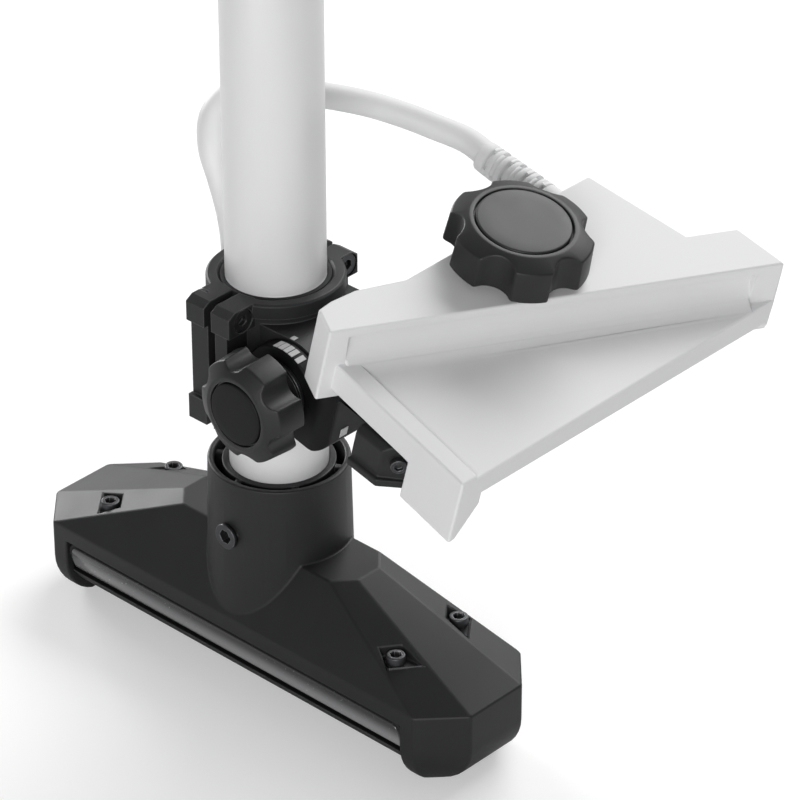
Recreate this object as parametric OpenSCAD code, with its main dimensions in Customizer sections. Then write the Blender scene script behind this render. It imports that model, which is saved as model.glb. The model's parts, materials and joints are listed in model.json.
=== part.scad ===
// Pole-mounted sonar transducer: a winged scanning pod on the foot of a pole, with a second,
// wedge-shaped forward transducer on a tilting bracket that a two-part collar clamps to the pole.
// Millimetres, +Z up along the pole. The origin is the middle of the pod's flat underside.
// +X runs along the pod's wings, towards the side that the wedge looks to.

/* [Pod] */
// Length of the pod from wing tip to wing tip
pod_length = 177.4; // [165:0.2:200]
// Width of the pod across its wings
pod_width = 47.2; // [45:0.2:54]
// Cut corner at a wing tip, measured along the pod
corner_x = 11.8; // [8:0.2:15]
// Cut corner at a wing tip, measured across the pod
corner_y = 12.5; // [9:0.2:14]
// Height of the lower edge of the roof
roof_edge_z = 27.5; // [26:0.1:31]
// Height of the flat top of the roof beside the hub
roof_top_z = 48.8; // [45:0.1:53]
// Half length of the flat top of the roof
roof_top_x = 36.9; // [32:0.1:44]
// Half width of the flat top of the roof
roof_top_y = 11; // [9.5:0.1:13]
// Radius of the rounded underside of the pod's ends
pod_round = 16; // [15.2:0.2:16.8]
// Height of the centre of that rounding
round_z = 15; // [14.4:0.1:15.2]
// Radius of the curved acoustic windows and of the underside between them
keel_r = 20; // [19.4:0.1:20.4]
// Wall of the moulded roof shell
pod_wall = 3; // [2.2:0.1:3.6]
// Length of the acoustic windows in the pod's long sides
window_length = 142.6; // [138:0.2:144]
// Height of the top edge of those windows
window_top_z = 22.4; // [21.6:0.1:23]
// Height of the lower edge of those windows
window_low_z = 11.4; // [10.4:0.1:12]
// Thickness of the windows
window_wall = 3.2; // [2.4:0.1:3.6]
// Width of the rubber seal round a window
seal_w = 1.2; // [0.8:0.1:1.8]
// Thickness of the base cover
base_t = 3; // [2.4:0.1:3.4]
// Distance of the cover screws from the pole axis, along the pod
screw_x = 60.8; // [58:0.2:62]
// Distance of the cover screws from the pole axis, across the pod
screw_y = 13.7; // [13.4:0.1:14.2]
// Height of the seat under the cover screws' heads
screw_seat_z = 35; // [34.6:0.1:35.2]
// Radius of the cover screws' heads
screw_head_r = 2.9; // [2.6:0.1:3.1]

/* [Hub] */
// Height of the hub's rim
hub_top_z = 75.2; // [71:0.1:81]
// Radius of the hub at its rim
hub_top_r = 21.6; // [21:0.1:22.4]
// Radius of the hub where it runs into the roof
hub_foot_r = 22.6; // [22:0.1:23.2]
// Wall of the hub at its rim
hub_wall = 1.9; // [1.4:0.1:2.4]
// Height of the floor that the pole stands on
hub_floor_z = 52; // [51.6:0.1:54]
// Wall of the ring that grips the pole inside the hub
ring_wall = 2.2; // [1.6:0.1:2.6]
// Number of ribs that carry this ring
rib_count = 6; // [4:1:8]
// Thickness of the ribs
rib_w = 2; // [1.4:0.1:2.6]
// Height of the set screw that locks the pole
set_screw_z = 56.6; // [56:0.1:59]

/* [Pole] */
// Outside diameter of the pole
pole_d = 30; // [29:0.1:31]
// Wall of the pole
pole_wall = 2; // [1.5:0.1:2.5]
// Height of the pole's upper end
pole_top_z = 239; // [227:1:267]

/* [Clamp] */
// Height of the top of the clamp collar
clamp_top_z = 138.8; // [137:0.1:141]
// Height of the clamp from its lower ears to the top of the collar
clamp_h = 41.1; // [40:0.1:42]
// Thickness of the rubber sleeve between pole and clamp
liner_t = 1.5; // [1:0.1:1.8]
// Wall of the clamp collar
collar_wall = 4.1; // [3.6:0.1:4.4]
// Gap between the two halves of the clamp
split_gap = 2.8; // [2:0.1:3.4]
// Distance of the near ears' outer faces from the pole axis
ear_reach = 28.4; // [27.6:0.1:29.4]
// Distance of the far ears' outer faces from the pole axis
far_reach = 25.4; // [25.2:0.1:27]
// Thickness of each ear along its bolt
ear_t = 7.4; // [6.8:0.1:7.8]
// Height of each ear
ear_h = 8; // [7.2:0.1:8.4]
// Diameter of the clamp bolts
clamp_bolt_d = 4; // [3:0.5:4.5]

/* [Tilt bracket] */
// Tilt of the bracket below level, in degrees
tilt = 14; // [10:0.5:18]
// Distance of the tilt axis from the pole axis
pivot_x = 23; // [22.6:0.1:23.6]
// Height of the tilt axis
pivot_z = 117.2; // [116.6:0.1:117.8]
// Radius of the clamp's pivot barrel
barrel_r = 14.8; // [13.8:0.1:15]
// Length of the pivot barrel
barrel_l = 34; // [32:0.2:34.4]
// Thickness of the bracket's cheeks
cheek_t = 5; // [4:0.1:5.4]
// Radius of the round part of the cheeks
cheek_r = 14.2; // [13.4:0.1:14.6]
// Reach of the bracket's front wall from the tilt axis
wall_reach = 18.8; // [18.4:0.1:19.4]
// Thickness of the table that carries the wedge
table_t = 7.4; // [6:0.1:8]
// Diameter of the tilt bolt and of the wedge bolt
bolt_d = 8; // [6:0.5:8]
// Gap between pieces that turn against each other
run_gap = 0.3; // [0.25:0.01:0.35]

/* [Wedge] */
// Long side of the wedge, across the pod
wedge_long = 135.8; // [132:0.2:140]
// Short side of the wedge, away from the pole
wedge_short = 56; // [55:0.2:60]
// Thickness of the wedge's body
wedge_t = 25.8; // [25:0.1:28]
// Depth of the step from the top plate to the sunken floor
step_depth = 13; // [11:0.1:14]
// Depth of the keel below the body
keel_depth = 13; // [11:0.1:14]
// Place of the wedge's corner along the bracket, from the tilt axis
wedge_x = 19.7; // [19.4:0.1:21]
// Place of the wedge's corner across the bracket, from the pole axis
wedge_y = -31.1; // [-32:0.1:-30.6]
// Place of the wedge's bolt along the bracket, from the tilt axis
bolt_x = 28.4; // [28:0.1:29]
// Place of the wedge's bolt across the bracket, from the pole axis
bolt_y = 36.7; // [36:0.1:38]

/* [Knobs] */
// Radius of the tilt knob
tilt_knob_r = 16.5; // [15:0.1:17]
// Radius of the wedge knob
wedge_knob_r = 21; // [19:0.1:22]
// Number of lobes on each knob
knob_lobes = 6; // [5:1:8]

/* [Lead] */
// Diameter of the lead
lead_d = 8; // [7:0.1:8.4]
// Length of the ribbed strain relief
gland_l = 31; // [28:0.5:34]
// Number of grooves round the strain relief
gland_grooves = 7; // [4:1:8]

/* [Hidden] */
$fn = 64;

// Colours
dark = "#2b2c2e";
darker = "#1d1e20";
rubber = "#161718";
gloss = "#101113";
pale = "#d6d7d8";
steel = "#9a9da1";
white = "#f2f2f2";
amber = "#b98a4a";
green = "#2f6b45";

// Fits
fit_gap = 0.05;
assembly_gap = 0.2;
thread_gap = 0.05;
shaft_gap = 0.08;
through = 1;
sliver = 0.02;

// Pod
half_l = pod_length / 2;
half_w = pod_width / 2;
corner_len = sqrt(corner_x * corner_x + corner_y * corner_y);
roof_corner_x = 6;
roof_corner_y = roof_corner_x * corner_y / corner_x;
round_steps = 8;
end_draw = 1.2;
corner_draw = 0.85;
roof_slant = 0.4;
window_half = window_length / 2;
window_inset = 0.6;
seal_inset = 0.5;
keel_y = half_w - window_inset - keel_r;
keel_z = window_top_z - 1.4;
keel_lip = 0.9;
keel_wall = 3;
keel_top_z = window_low_z - 0.4;
keel_floor_z = 6;
keel_plate_y = 9.5;
post_r = 4;
roof_post_r = 8.5;
post_foot_z = 14;
gusset = [
    [-10.4, keel_floor_z - sliver], [-16.4, post_foot_z], [-16.4, post_foot_z + 1],
    [-6.4, post_foot_z + 1], [-6.4, keel_floor_z - sliver]
];
post_top_z = 28.8;
screw_r = 1.6;
pocket_plan = [[-5.6, -1.2], [-1.3, 4.1], [7.4, 3.8], [0.9, -4.4]];
screw_head_h = 3;
hub_bore_r = hub_top_r - hub_wall;
wire_hole_r = 8;
bar_half = 53;
backing_y = 10.4;
backing_rib_half = 50;
backing_rib_y = 9;
backing_rib_h = 7;
piezo_t = 3.5;
piezo_h = 9;
board_size = [78, 11, 1.6];
piezo_z = 9;
backing_h = piezo_z + piezo_h - keel_floor_z;
board_z = keel_floor_z + backing_h + backing_rib_h;

// Pole and hub
pole_r = pole_d / 2;
ring_top_z = hub_top_z - 1;
scribe_w = 0.5;
scribe_depth = 0.3;
scribe_z = clamp_top_z - scribe_w;
set_screw_r = 3;
set_flange_r = 4.1;
set_flange_t = 1;

// Clamp
clamp_z = clamp_top_z - clamp_h;
bore_r = pole_r + liner_t + fit_gap;
collar_r = bore_r + collar_wall;
rim_h = 4.8;
rim_step = 1;
web_t = 4.9;
rear_web_t = ear_t - 0.4;
web_drop = 1.5;
ear_in = bore_r - 1;
ear_chamfer = 2.6;
clamp_bolt_r = clamp_bolt_d / 2;
bolt_head_r = clamp_bolt_r * 1.75;
bolt_rim = 0.4;
clamp_bolt_y = [-collar_r - clamp_bolt_r + 0.3, far_reach - bolt_head_r - bolt_rim];
bolt_head_h = 2.8;
bolt_sink = 3.2;
nut_af_4 = 7;
nut_h_4 = 3.2;
bolt_levels = [clamp_z + ear_h / 2, clamp_top_z - ear_h / 2];

// Tilt bracket
cheek_in = barrel_l / 2 + run_gap;
cheek_out = cheek_in + cheek_t;
wall_in = barrel_r + 0.5;
wall_round = 5;
cheek_low = -12.4;
cheek_clear = 0.9;
cheek_corner = 4;
cheek_step = 10.5;
cheek_shoulder = 6;
table_top = 15.2;
table_set_back = 3.8;
table_out_y = -cheek_out + table_set_back;
table_reach = 42;
lug_reach = 53;
lug_end_y = -8;
bolt_r = bolt_d / 2;
bolt_hole_r = bolt_r + shaft_gap;
boss_r = 12;
nut_af_8 = 13;
nut_h_8 = 6.4;
boss_h = nut_h_8 + 0.6;
tick_angles = [-20.5, -12.5, -4.5, 3.5, 14.5];
tick_t = 0.25;
tick_w = 1.7;
tick_l = 3.5;
pointer_angle = 0;
pointer_l = 1.8;
mark_side = 3;
mark_y = -14.6;
mark_z = -8.2;

// Lock block
lock_x = 34;
lock_end = lock_x + 19.4;
lock_depth = 9.9;
lock_y = table_out_y - lock_depth;
lock_top = table_top - fit_gap;
lock_low = 2.6;
lock_cut = 8.6;
lock_bevel = 1.8;
lock_lip = 1.3;
lock_head_r = 2.4;
lock_head_h = 1.8;
lock_shaft_r = 1.6;
lock_screw_l = 13;
lock_screw_at = [lock_end - 4.9, lock_y + 3.7, 9.8];

// Wedge
wedge_top = table_top + run_gap + wedge_t;
wedge_low = table_top + run_gap;
rim_z = wedge_top - step_depth;
floor_drop = 1.2;
ledge_w = 4.6;
plate_back = -3.8;
plate_shoulder = -9.6;
plate_end = 115.2;
plate_ear = 37;
groove_top = 3.4;
groove_in = 2.2;
post_start = 7;
post_end = 9;
floor_fillet = 8;
fillet_steps = 8;
keel_start = 34.6;
keel_w = 10.4;
keel_tip = 2.6;
leg_chamfer = 2.4;
shelf_rise = 6.6;
shelf_lift = 0.4;
array_gap = 0.3;
array_z = wedge_low + 4.4;
long_array = [7, wedge_long - 48, 5.6];
long_array_at = [wedge_short - 11, 20];
side_array = [15, 4, 11];
side_array_at = [wedge_short - 18.5, 2.6];
side_array_z = wedge_low - 3;
front_len = sqrt(wedge_short * wedge_short + wedge_long * wedge_long);
front_angle = atan2(wedge_long, wedge_short);

// Knobs
knob_cone = 2.3;
tilt_lobe_h = 9.6;
tilt_knob_turn = 22;
wedge_lobe_h = 10.4;
wedge_knob_turn = -8;
cap_t = 1.6;
cap_proud = 0.3;
cap_gap = 0.45;
washer_t = 1.2;
tilt_washer_r = 10;
wedge_washer_r = 13;
tilt_neck_r = 9.5;
tilt_neck_h = 4.8;
wedge_neck_r = 12;
wedge_neck_h = 0.2;
tilt_cap_r = 10.2;
wedge_cap_r = 14.2;
wedge_washer_t = 1.8;

// Lead
lead_r = lead_d / 2;
gland_r = 5.6;
gland_tip_r = 4.9;
gland_y = 74;
gland_z = wedge_top - 7.8;
gland_x = wedge_x + plate_back;
lead_sides = 10;
grommet_r = lead_r + 1.6;
grommet_t = 4;
pole_hole_z = 84.4;
pole_hole_angle = 163;
pole_hole_slope = 45;
lead_gap = 0.3;
lead_straight = 9;
lead_points = [
    in_row([gland_x - gland_l - lead_gap, gland_y, gland_z]),
    in_row([gland_x - gland_l - lead_straight, gland_y, gland_z]),
    [-2, 71, 157.5],
    [-11, 66, 160.5],
    [-19, 59, 164],
    [-26, 50, 167.5],
    [-32, 40, 171],
    [-36, 30, 174],
    [-38, 20, 175],
    [-37, 11.5, 171.5],
    [-33, 7, 164.5],
    [-29, 6.5, 156],
    [-26.3, 7, 146.5],
    [-25, 7.4, 137],
    [-24.5, 7.4, 125],
    [-24.5, 7.4, 114],
    [-24.4, 7.4, 104],
    [-22.3, 6.8, 95],
    [-17.5, 5.3, 87.8],
    [-11, 3.3, 81],
    [-5, 1.5, 74.6]
];

// Points of the bracket's tilted frame in the frame of the part
function in_row(p) = [
    pivot_x + p[0] * cos(tilt) + p[2] * sin(tilt),
    p[1],
    pivot_z - p[0] * sin(tilt) + p[2] * cos(tilt)
];

// Plan of the pod, drawn in by a given distance
function pod_plan(d) =
    let (
        x1 = half_l - d * end_draw,
        y1 = half_w - d,
        cut = half_l * corner_y + (half_w - corner_y) * corner_x - d * corner_draw * corner_len,
        x2 = (cut - y1 * corner_x) / corner_y,
        y2 = (cut - x1 * corner_y) / corner_x
    )
    [[x1, y2], [x2, y1], [-x2, y1], [-x1, y2], [-x1, -y2], [-x2, -y1], [x2, -y1], [x1, -y2]];

// Plan of the flat roof top, drawn in by a given distance
function roof_plan(d) =
    let (
        x1 = roof_top_x - d,
        y1 = roof_top_y - d,
        x2 = x1 - roof_corner_x,
        y2 = y1 - roof_corner_y
    )
    [[x1, y2], [x2, y1], [-x2, y1], [-x1, y2], [-x1, -y2], [-x2, -y1], [x2, -y1], [x1, -y2]];

// Rings of points along a route, each at right angles to it
function unit(v) = v / norm(v);
function route_dir(p, i) = unit(p[min(i + 1, len(p) - 1)] - p[max(i - 1, 0)]);
function side_dir(t) = unit(cross(t, abs(t[2]) > 0.9 ? [1, 0, 0] : [0, 0, 1]));
function turned(v, t) = unit(v - t * (v * t));
function side_dirs(p, i = 0, last = undef) =
    i >= len(p) ? [] :
    let (t = route_dir(p, i), s = is_undef(last) ? side_dir(t) : turned(last, t))
    concat([s], side_dirs(p, i + 1, s));
function route_rings(p, r) =
    let (sides = side_dirs(p))
    [for (i = [0:len(p) - 1])
        let (t = i == 0 ? unit(p[1] - p[0]) : route_dir(p, i), s = turned(sides[i], t), u = cross(t, s))
        for (k = [0:lead_sides - 1])
            let (a = 360 * k / lead_sides)
            p[i] + r * (cos(a) * s + sin(a) * u)];
function mid_points(p) = [
    for (i = [0:len(p) - 2])
        for (h = [0, 1])
            h == 0 ? p[i] : curve_mid(p, i),
    p[len(p) - 1]
];
function curve_mid(p, i) =
    let (a = p[max(i - 1, 0)], b = p[i], c = p[i + 1], d = p[min(i + 2, len(p) - 1)])
    (9 * (b + c) - (a + d)) / 16;

// Holds its children in the bracket's tilted frame
module in_bracket() {
    translate([pivot_x, 0, pivot_z])
        rotate([0, tilt, 0])
            children();
}

// A cylinder along Y from one depth to another
module y_cylinder(r, y0, y1) {
    translate([0, y1, 0])
        rotate([90, 0, 0])
            cylinder(h = y1 - y0, r = r);
}

// A cylinder along X from one place to another
module x_cylinder(r, x0, x1) {
    translate([x0, 0, 0])
        rotate([0, 90, 0])
            cylinder(h = x1 - x0, r = r);
}

// A profile drawn in X and Z, run along Y
module y_extrude(y0, y1) {
    translate([0, y1, 0])
        rotate([90, 0, 0])
            linear_extrude(y1 - y0)
                children();
}

// A profile drawn in Y and Z, run along X
module x_extrude(x0, x1) {
    translate([x0, 0, 0])
        rotate([90, 0, 90])
            linear_extrude(x1 - x0)
                children();
}

// A hexagon with its flats a given distance apart
module hexagon(flats) {
    circle(d = flats / cos(30), $fn = 6);
}

// Levels of the pod's form from the underside up, each with its plan
function form_levels(d, floor_z) = concat(
    [for (i = [round_steps:-1:0])
        let (r = pod_round - d, a = asin((round_z - floor_z) / r) * i / round_steps)
        [round_z - r * sin(a), pod_plan(d + r * (1 - cos(a)))]],
    [
        [roof_edge_z - d * roof_slant, pod_plan(d)],
        [roof_top_z - d, roof_plan(d * roof_slant)]
    ]
);

// The pod's form, drawn in by a given distance: rounded below, upright sides, and a faceted roof
module pod_form(d = 0, floor_z = 0) {
    levels = form_levels(d, floor_z);
    last = len(levels) - 1;
    polyhedron(
        points = [for (level = levels) for (p = level[1]) [p[0], p[1], level[0]]],
        faces = concat(
            [[for (k = [0:7]) k]],
            [for (i = [0:last - 1])
                for (k = [0:7])
                    [i * 8 + k, (i + 1) * 8 + k, (i + 1) * 8 + (k + 1) % 8, i * 8 + (k + 1) % 8]],
            [[for (k = [7:-1:0]) last * 8 + k]]
        )
    );
}

// The places of the four cover screws
module at_screws() {
    for (x = [0, 1])
        for (y = [0, 1])
            mirror([x, 0, 0])
                mirror([0, y, 0])
                    translate([screw_x, -screw_y, 0])
                        children();
}

module pod_housing() {
    color(dark)
        difference() {
            union() {
                pod_form();
                translate([0, 0, roof_edge_z])
                    cylinder(h = hub_top_z - roof_edge_z, r1 = hub_foot_r, r2 = hub_top_r);
            }
            difference() {
                pod_form(pod_wall, base_t);
                at_screws()
                    translate([0, 0, post_top_z])
                        cylinder(h = roof_top_z, r = roof_post_r);
            }
            translate([-window_half, -half_w - through, -through])
                cube([window_length, pod_width + 2 * through, window_top_z + through]);
            translate([0, 0, hub_floor_z])
                cylinder(h = hub_top_z, r = hub_bore_r);
            cylinder(h = hub_top_z, r = wire_hole_r);
            at_screws() {
                cylinder(h = roof_top_z, r = screw_r + assembly_gap);
                translate([0, 0, screw_seat_z])
                    linear_extrude(roof_top_z)
                        polygon(pocket_plan);
            }
            translate([0, 0, set_screw_z])
                y_cylinder(set_screw_r + assembly_gap, -hub_foot_r - through, -pole_r);
        }
}

// Cross-section of the pod's underside between its ends, drawn in by a given distance
module keel_section(d) {
    for (side = [-1, 1])
        translate([side * keel_y, keel_z])
            circle(keel_r - d);
    translate([-keel_y, keel_z - keel_r + d])
        square([2 * keel_y, 2 * (keel_r - d)]);
}

module pod_base() {
    length = window_half - assembly_gap;
    color(darker)
        difference() {
            union() {
                x_extrude(-length, length) {
                    intersection() {
                        keel_section(-keel_lip);
                        translate([-half_w, 0])
                            square([pod_width, keel_top_z]);
                    }
                    translate([-keel_plate_y, 0])
                        square([2 * keel_plate_y, base_t]);
                }
            }
            x_extrude(-length + keel_wall, length - keel_wall)
                intersection() {
                    keel_section(keel_wall);
                    translate([-half_w, keel_floor_z])
                        square([pod_width, keel_top_z]);
                }
        }
    color(darker)
        difference() {
            at_screws() {
                translate([0, 0, post_foot_z])
                    cylinder(h = post_top_z - post_foot_z, r = post_r);
                translate([-post_r, screw_y, 0])
                    x_extrude(0, 2 * post_r)
                        polygon(gusset);
            }
            at_screws()
                translate([0, 0, post_foot_z + 1.6])
                    cylinder(h = roof_top_z, r = screw_r + thread_gap);
        }
}

// Outline of a window, drawn in by a given distance
module window_outline(gap) {
    x = window_half - gap;
    low = window_low_z + gap;
    r = 4 - gap;
    translate([-x, low])
        square([2 * x, window_top_z - gap - r - low]);
    translate([-x + r, low])
        square([2 * x - 2 * r, window_top_z - gap - low]);
    for (s = [-1, 1])
        translate([s * (x - r), window_top_z - gap - r])
            circle(r);
}

// The curved skin of the pod's sides between two depths
module side_skin(d0, d1) {
    x_extrude(-window_half, window_half)
        difference() {
            keel_section(d0);
            keel_section(d1);
        }
}

module pod_windows() {
    color(gloss)
        for (s = [0, 1])
            mirror([0, s, 0])
                intersection() {
                    side_skin(0, window_wall);
                    y_extrude(-half_w, 0)
                        window_outline(seal_w + fit_gap);
                }
}

module window_seals() {
    color(rubber)
        for (s = [0, 1])
            mirror([0, s, 0])
                intersection() {
                    side_skin(seal_inset, window_wall);
                    y_extrude(-half_w, 0)
                        difference() {
                            window_outline(fit_gap);
                            window_outline(seal_w);
                        }
                }
}

module pod_backing() {
    color(darker) {
        translate([-bar_half, -backing_y, keel_floor_z])
            cube([2 * bar_half, 2 * backing_y, backing_h]);
        translate([-backing_rib_half, -backing_rib_y, keel_floor_z])
            cube([2 * backing_rib_half, 2 * backing_rib_y, backing_h + backing_rib_h]);
    }
}

module pod_piezo_bars() {
    color(amber)
        for (s = [0, 1])
            mirror([0, s, 0])
                translate([-bar_half, -backing_y - piezo_t, piezo_z])
                    cube([2 * bar_half, piezo_t, piezo_h]);
}

module pod_circuit_board() {
    color(green)
        translate([-board_size[0] / 2, -board_size[1] / 2, board_z])
            cube(board_size);
}

// A cap screw with its head's seat at the origin, pointing down
module cap_screw(r, length, head_r, head_h, socket_af) {
    difference() {
        union() {
            translate([0, 0, -length])
                cylinder(h = length + sliver, r = r);
            cylinder(h = head_h, r = head_r);
        }
        translate([0, 0, head_h * 0.4])
            linear_extrude(head_h)
                hexagon(socket_af);
    }
}

module pod_screws() {
    color(steel)
        at_screws()
            translate([0, 0, screw_seat_z])
                cap_screw(screw_r, screw_seat_z - post_foot_z - 2, screw_head_r, screw_head_h, 3);
}

module pole_socket() {
    color(darker)
        difference() {
            union() {
                translate([0, 0, hub_floor_z])
                    cylinder(h = ring_top_z - hub_floor_z, r = pole_r + fit_gap + ring_wall);
                intersection() {
                    translate([0, 0, hub_floor_z])
                        cylinder(h = ring_top_z - hub_floor_z - 0.6, r = hub_bore_r - fit_gap);
                    for (i = [0:rib_count - 1])
                        rotate([0, 0, -90 + 360 * i / rib_count])
                            translate([pole_r, -rib_w / 2, hub_floor_z])
                                cube([hub_bore_r, rib_w, ring_top_z]);
                }
            }
            translate([0, 0, hub_floor_z - through])
                cylinder(h = hub_top_z, r = pole_r + fit_gap);
            translate([0, 0, set_screw_z])
                y_cylinder(set_screw_r + assembly_gap, -hub_foot_r, -pole_r + through);
        }
}

module set_screw() {
    color(steel)
        translate([0, 0, set_screw_z])
            difference() {
                union() {
                    y_cylinder(set_screw_r, -hub_foot_r, -pole_r - fit_gap);
                    y_cylinder(set_flange_r, -hub_foot_r - set_flange_t, -hub_foot_r);
                }
                y_extrude(-hub_foot_r - 2 * set_flange_t, -hub_foot_r + 2)
                    hexagon(4);
            }
}

// Holds its children at the hole in the pole, with +Z along the way out of it
module at_pole_hole() {
    rotate([0, 0, pole_hole_angle])
        translate([pole_r, 0, pole_hole_z])
            rotate([0, 90 - pole_hole_slope, 0])
                children();
}

module pole() {
    color(pale)
        difference() {
            translate([0, 0, hub_floor_z])
                cylinder(h = pole_top_z - hub_floor_z, r = pole_r);
            translate([0, 0, hub_floor_z - through])
                cylinder(h = pole_top_z, r = pole_r - pole_wall);
            translate([0, 0, scribe_z])
                difference() {
                    cylinder(h = scribe_w, r = pole_d);
                    translate([0, 0, -through])
                        cylinder(h = scribe_w + 2 * through, r = pole_r - scribe_depth);
                }
            at_pole_hole()
                translate([0, 0, -pole_r / 2])
                    cylinder(h = pole_r, r = grommet_r);
        }
}

module lead_grommet() {
    color(rubber)
        at_pole_hole()
            translate([0, 0, -grommet_t])
                difference() {
                    cylinder(h = 2 * grommet_t, r = grommet_r - fit_gap);
                    translate([0, 0, -through])
                        cylinder(h = 2 * grommet_t + 2 * through, r = lead_r + fit_gap);
                }
}

// An ear of the clamp in Y and Z, with its outer upper edge cut away
module ear_outline(z0, z1, reach, cut) {
    polygon([
        [ear_in, z0], [reach, z0], [reach, z1 - cut * 0.6],
        [reach - cut, z1], [ear_in, z1]
    ]);
}

// The ears at one edge of a clamp half, with the thinner web between them
module clamp_ears(reach, web) {
    x_extrude(split_gap / 2, split_gap / 2 + ear_t) {
        ear_outline(clamp_top_z - ear_h, clamp_top_z, reach, ear_chamfer);
        ear_outline(clamp_z, clamp_z + ear_h, reach, 0);
    }
    x_extrude(split_gap / 2, split_gap / 2 + web)
        translate([ear_in, clamp_z + web_drop])
            square([reach - web_drop - ear_in, clamp_h - 2 * web_drop]);
}

// The half of the clamp on the +X side, without its pivot
module clamp_half(web) {
    difference() {
        union() {
            intersection() {
                rotate_extrude()
                    polygon([
                        [bore_r, clamp_z + 2], [collar_r - rim_step, clamp_z + 2],
                        [collar_r - rim_step, clamp_top_z - rim_h], [collar_r, clamp_top_z - rim_h],
                        [collar_r, clamp_top_z - 0.6], [collar_r - 0.6, clamp_top_z],
                        [bore_r + 0.8, clamp_top_z], [bore_r, clamp_top_z - 0.8]
                    ]);
                translate([split_gap / 2, -ear_reach, clamp_z])
                    cube([collar_r, 2 * ear_reach, clamp_h]);
            }
            for (s = [0, 1])
                mirror([0, 1 - s, 0])
                    clamp_ears(s == 0 ? ear_reach : far_reach, web);
        }
        translate([0, 0, clamp_z - through])
            cylinder(h = clamp_h + 2 * through, r = bore_r);
        for (y = clamp_bolt_y)
            for (z = bolt_levels)
                translate([0, y, z])
                    x_cylinder(clamp_bolt_r + assembly_gap, 0, collar_r);
    }
}

module clamp_rear() {
    color(dark)
        difference() {
            mirror([1, 0, 0])
                clamp_half(rear_web_t);
            for (y = clamp_bolt_y)
                for (z = bolt_levels)
                    translate([-split_gap / 2 - ear_t + nut_h_4, y, z])
                        rotate([0, -90, 0])
                            linear_extrude(ear_t)
                                hexagon(nut_af_4 + assembly_gap);
        }
}

module clamp_front() {
    color(dark)
        difference() {
            union() {
                clamp_half(web_t);
                difference() {
                    union() {
                        translate([pivot_x, 0, pivot_z])
                            y_cylinder(barrel_r, -barrel_l / 2, barrel_l / 2);
                        translate([bore_r / 2, -barrel_l / 2, pivot_z - barrel_r])
                            cube([pivot_x - bore_r / 2, barrel_l, 2 * barrel_r]);
                    }
                    translate([0, 0, clamp_z - through])
                        cylinder(h = clamp_h + 2 * through, r = bore_r);
                }
            }
            translate([pivot_x, 0, pivot_z]) {
                y_cylinder(bolt_hole_r, -barrel_l, barrel_l);
                for (s = [0, 1])
                    mirror([0, s, 0])
                        y_cylinder(cheek_r + cheek_clear, barrel_l / 2, collar_r + through);
            }
            for (y = clamp_bolt_y)
                for (z = bolt_levels)
                    translate([0, y, z])
                        x_cylinder(bolt_head_r + assembly_gap, split_gap / 2 + ear_t - bolt_sink, pivot_x);
        }
}

module clamp_liner() {
    color(rubber)
        difference() {
            translate([0, 0, clamp_z + 1])
                cylinder(h = clamp_h - 1.4, r = bore_r - fit_gap);
            translate([0, 0, clamp_z])
                cylinder(h = clamp_h + through, r = pole_r + fit_gap);
            translate([-split_gap / 4, 0, clamp_z])
                cube([split_gap / 2, ear_reach, clamp_h + through]);
        }
}

module clamp_bolts() {
    seat = split_gap / 2 + ear_t - bolt_sink;
    color(steel)
        for (y = clamp_bolt_y)
            for (z = bolt_levels)
                translate([seat, y, z])
                    rotate([0, 90, 0])
                        cap_screw(
                            clamp_bolt_r, seat + split_gap / 2 + ear_t - 0.4,
                            bolt_head_r, bolt_head_h, clamp_bolt_r * 1.5
                        );
}

module clamp_nuts() {
    color(steel)
        for (y = clamp_bolt_y)
            for (z = bolt_levels)
                translate([-split_gap / 2 - ear_t + nut_h_4 - fit_gap, y, z])
                    rotate([0, -90, 0])
                        difference() {
                            linear_extrude(nut_h_4 - 2 * fit_gap)
                                hexagon(nut_af_4);
                            translate([0, 0, -through])
                                cylinder(h = nut_h_4 + 2 * through, r = clamp_bolt_r + thread_gap);
                        }
}

module tilt_scale() {
    color(white)
        in_bracket() {
            for (a = tick_angles)
                rotate([0, a, 0])
                    translate([-tick_w / 2, -cheek_out + fit_gap, cheek_r])
                        cube([tick_w, tick_l, tick_t]);
            translate([wall_reach, mark_y, mark_z])
                cube([tick_t, mark_side, mark_side]);
        }
}

// Side view of the bracket's cheeks, round the tilt axis and out to the front wall
module cheek_outline() {
    circle(cheek_r);
    translate([0, cheek_low + cheek_corner])
        square([wall_reach, cheek_shoulder - cheek_low - cheek_corner]);
    translate([0, cheek_low])
        square([wall_reach - cheek_corner, cheek_shoulder - cheek_low]);
    translate([wall_reach - cheek_corner, cheek_low + cheek_corner])
        circle(cheek_corner);
    translate([cheek_step, 0])
        square([wall_reach - cheek_step, table_top]);
}

// Plan of the bracket's cheeks and front wall, with its outer corner rounded
module cheek_plan() {
    back = -2 * cheek_r;
    translate([back, -cheek_out])
        square([wall_reach - wall_round - back, 2 * cheek_out]);
    translate([back, -cheek_out + wall_round])
        square([wall_reach - back, 2 * cheek_out - wall_round]);
    translate([wall_reach - wall_round, -cheek_out + wall_round])
        circle(wall_round);
}

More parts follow.
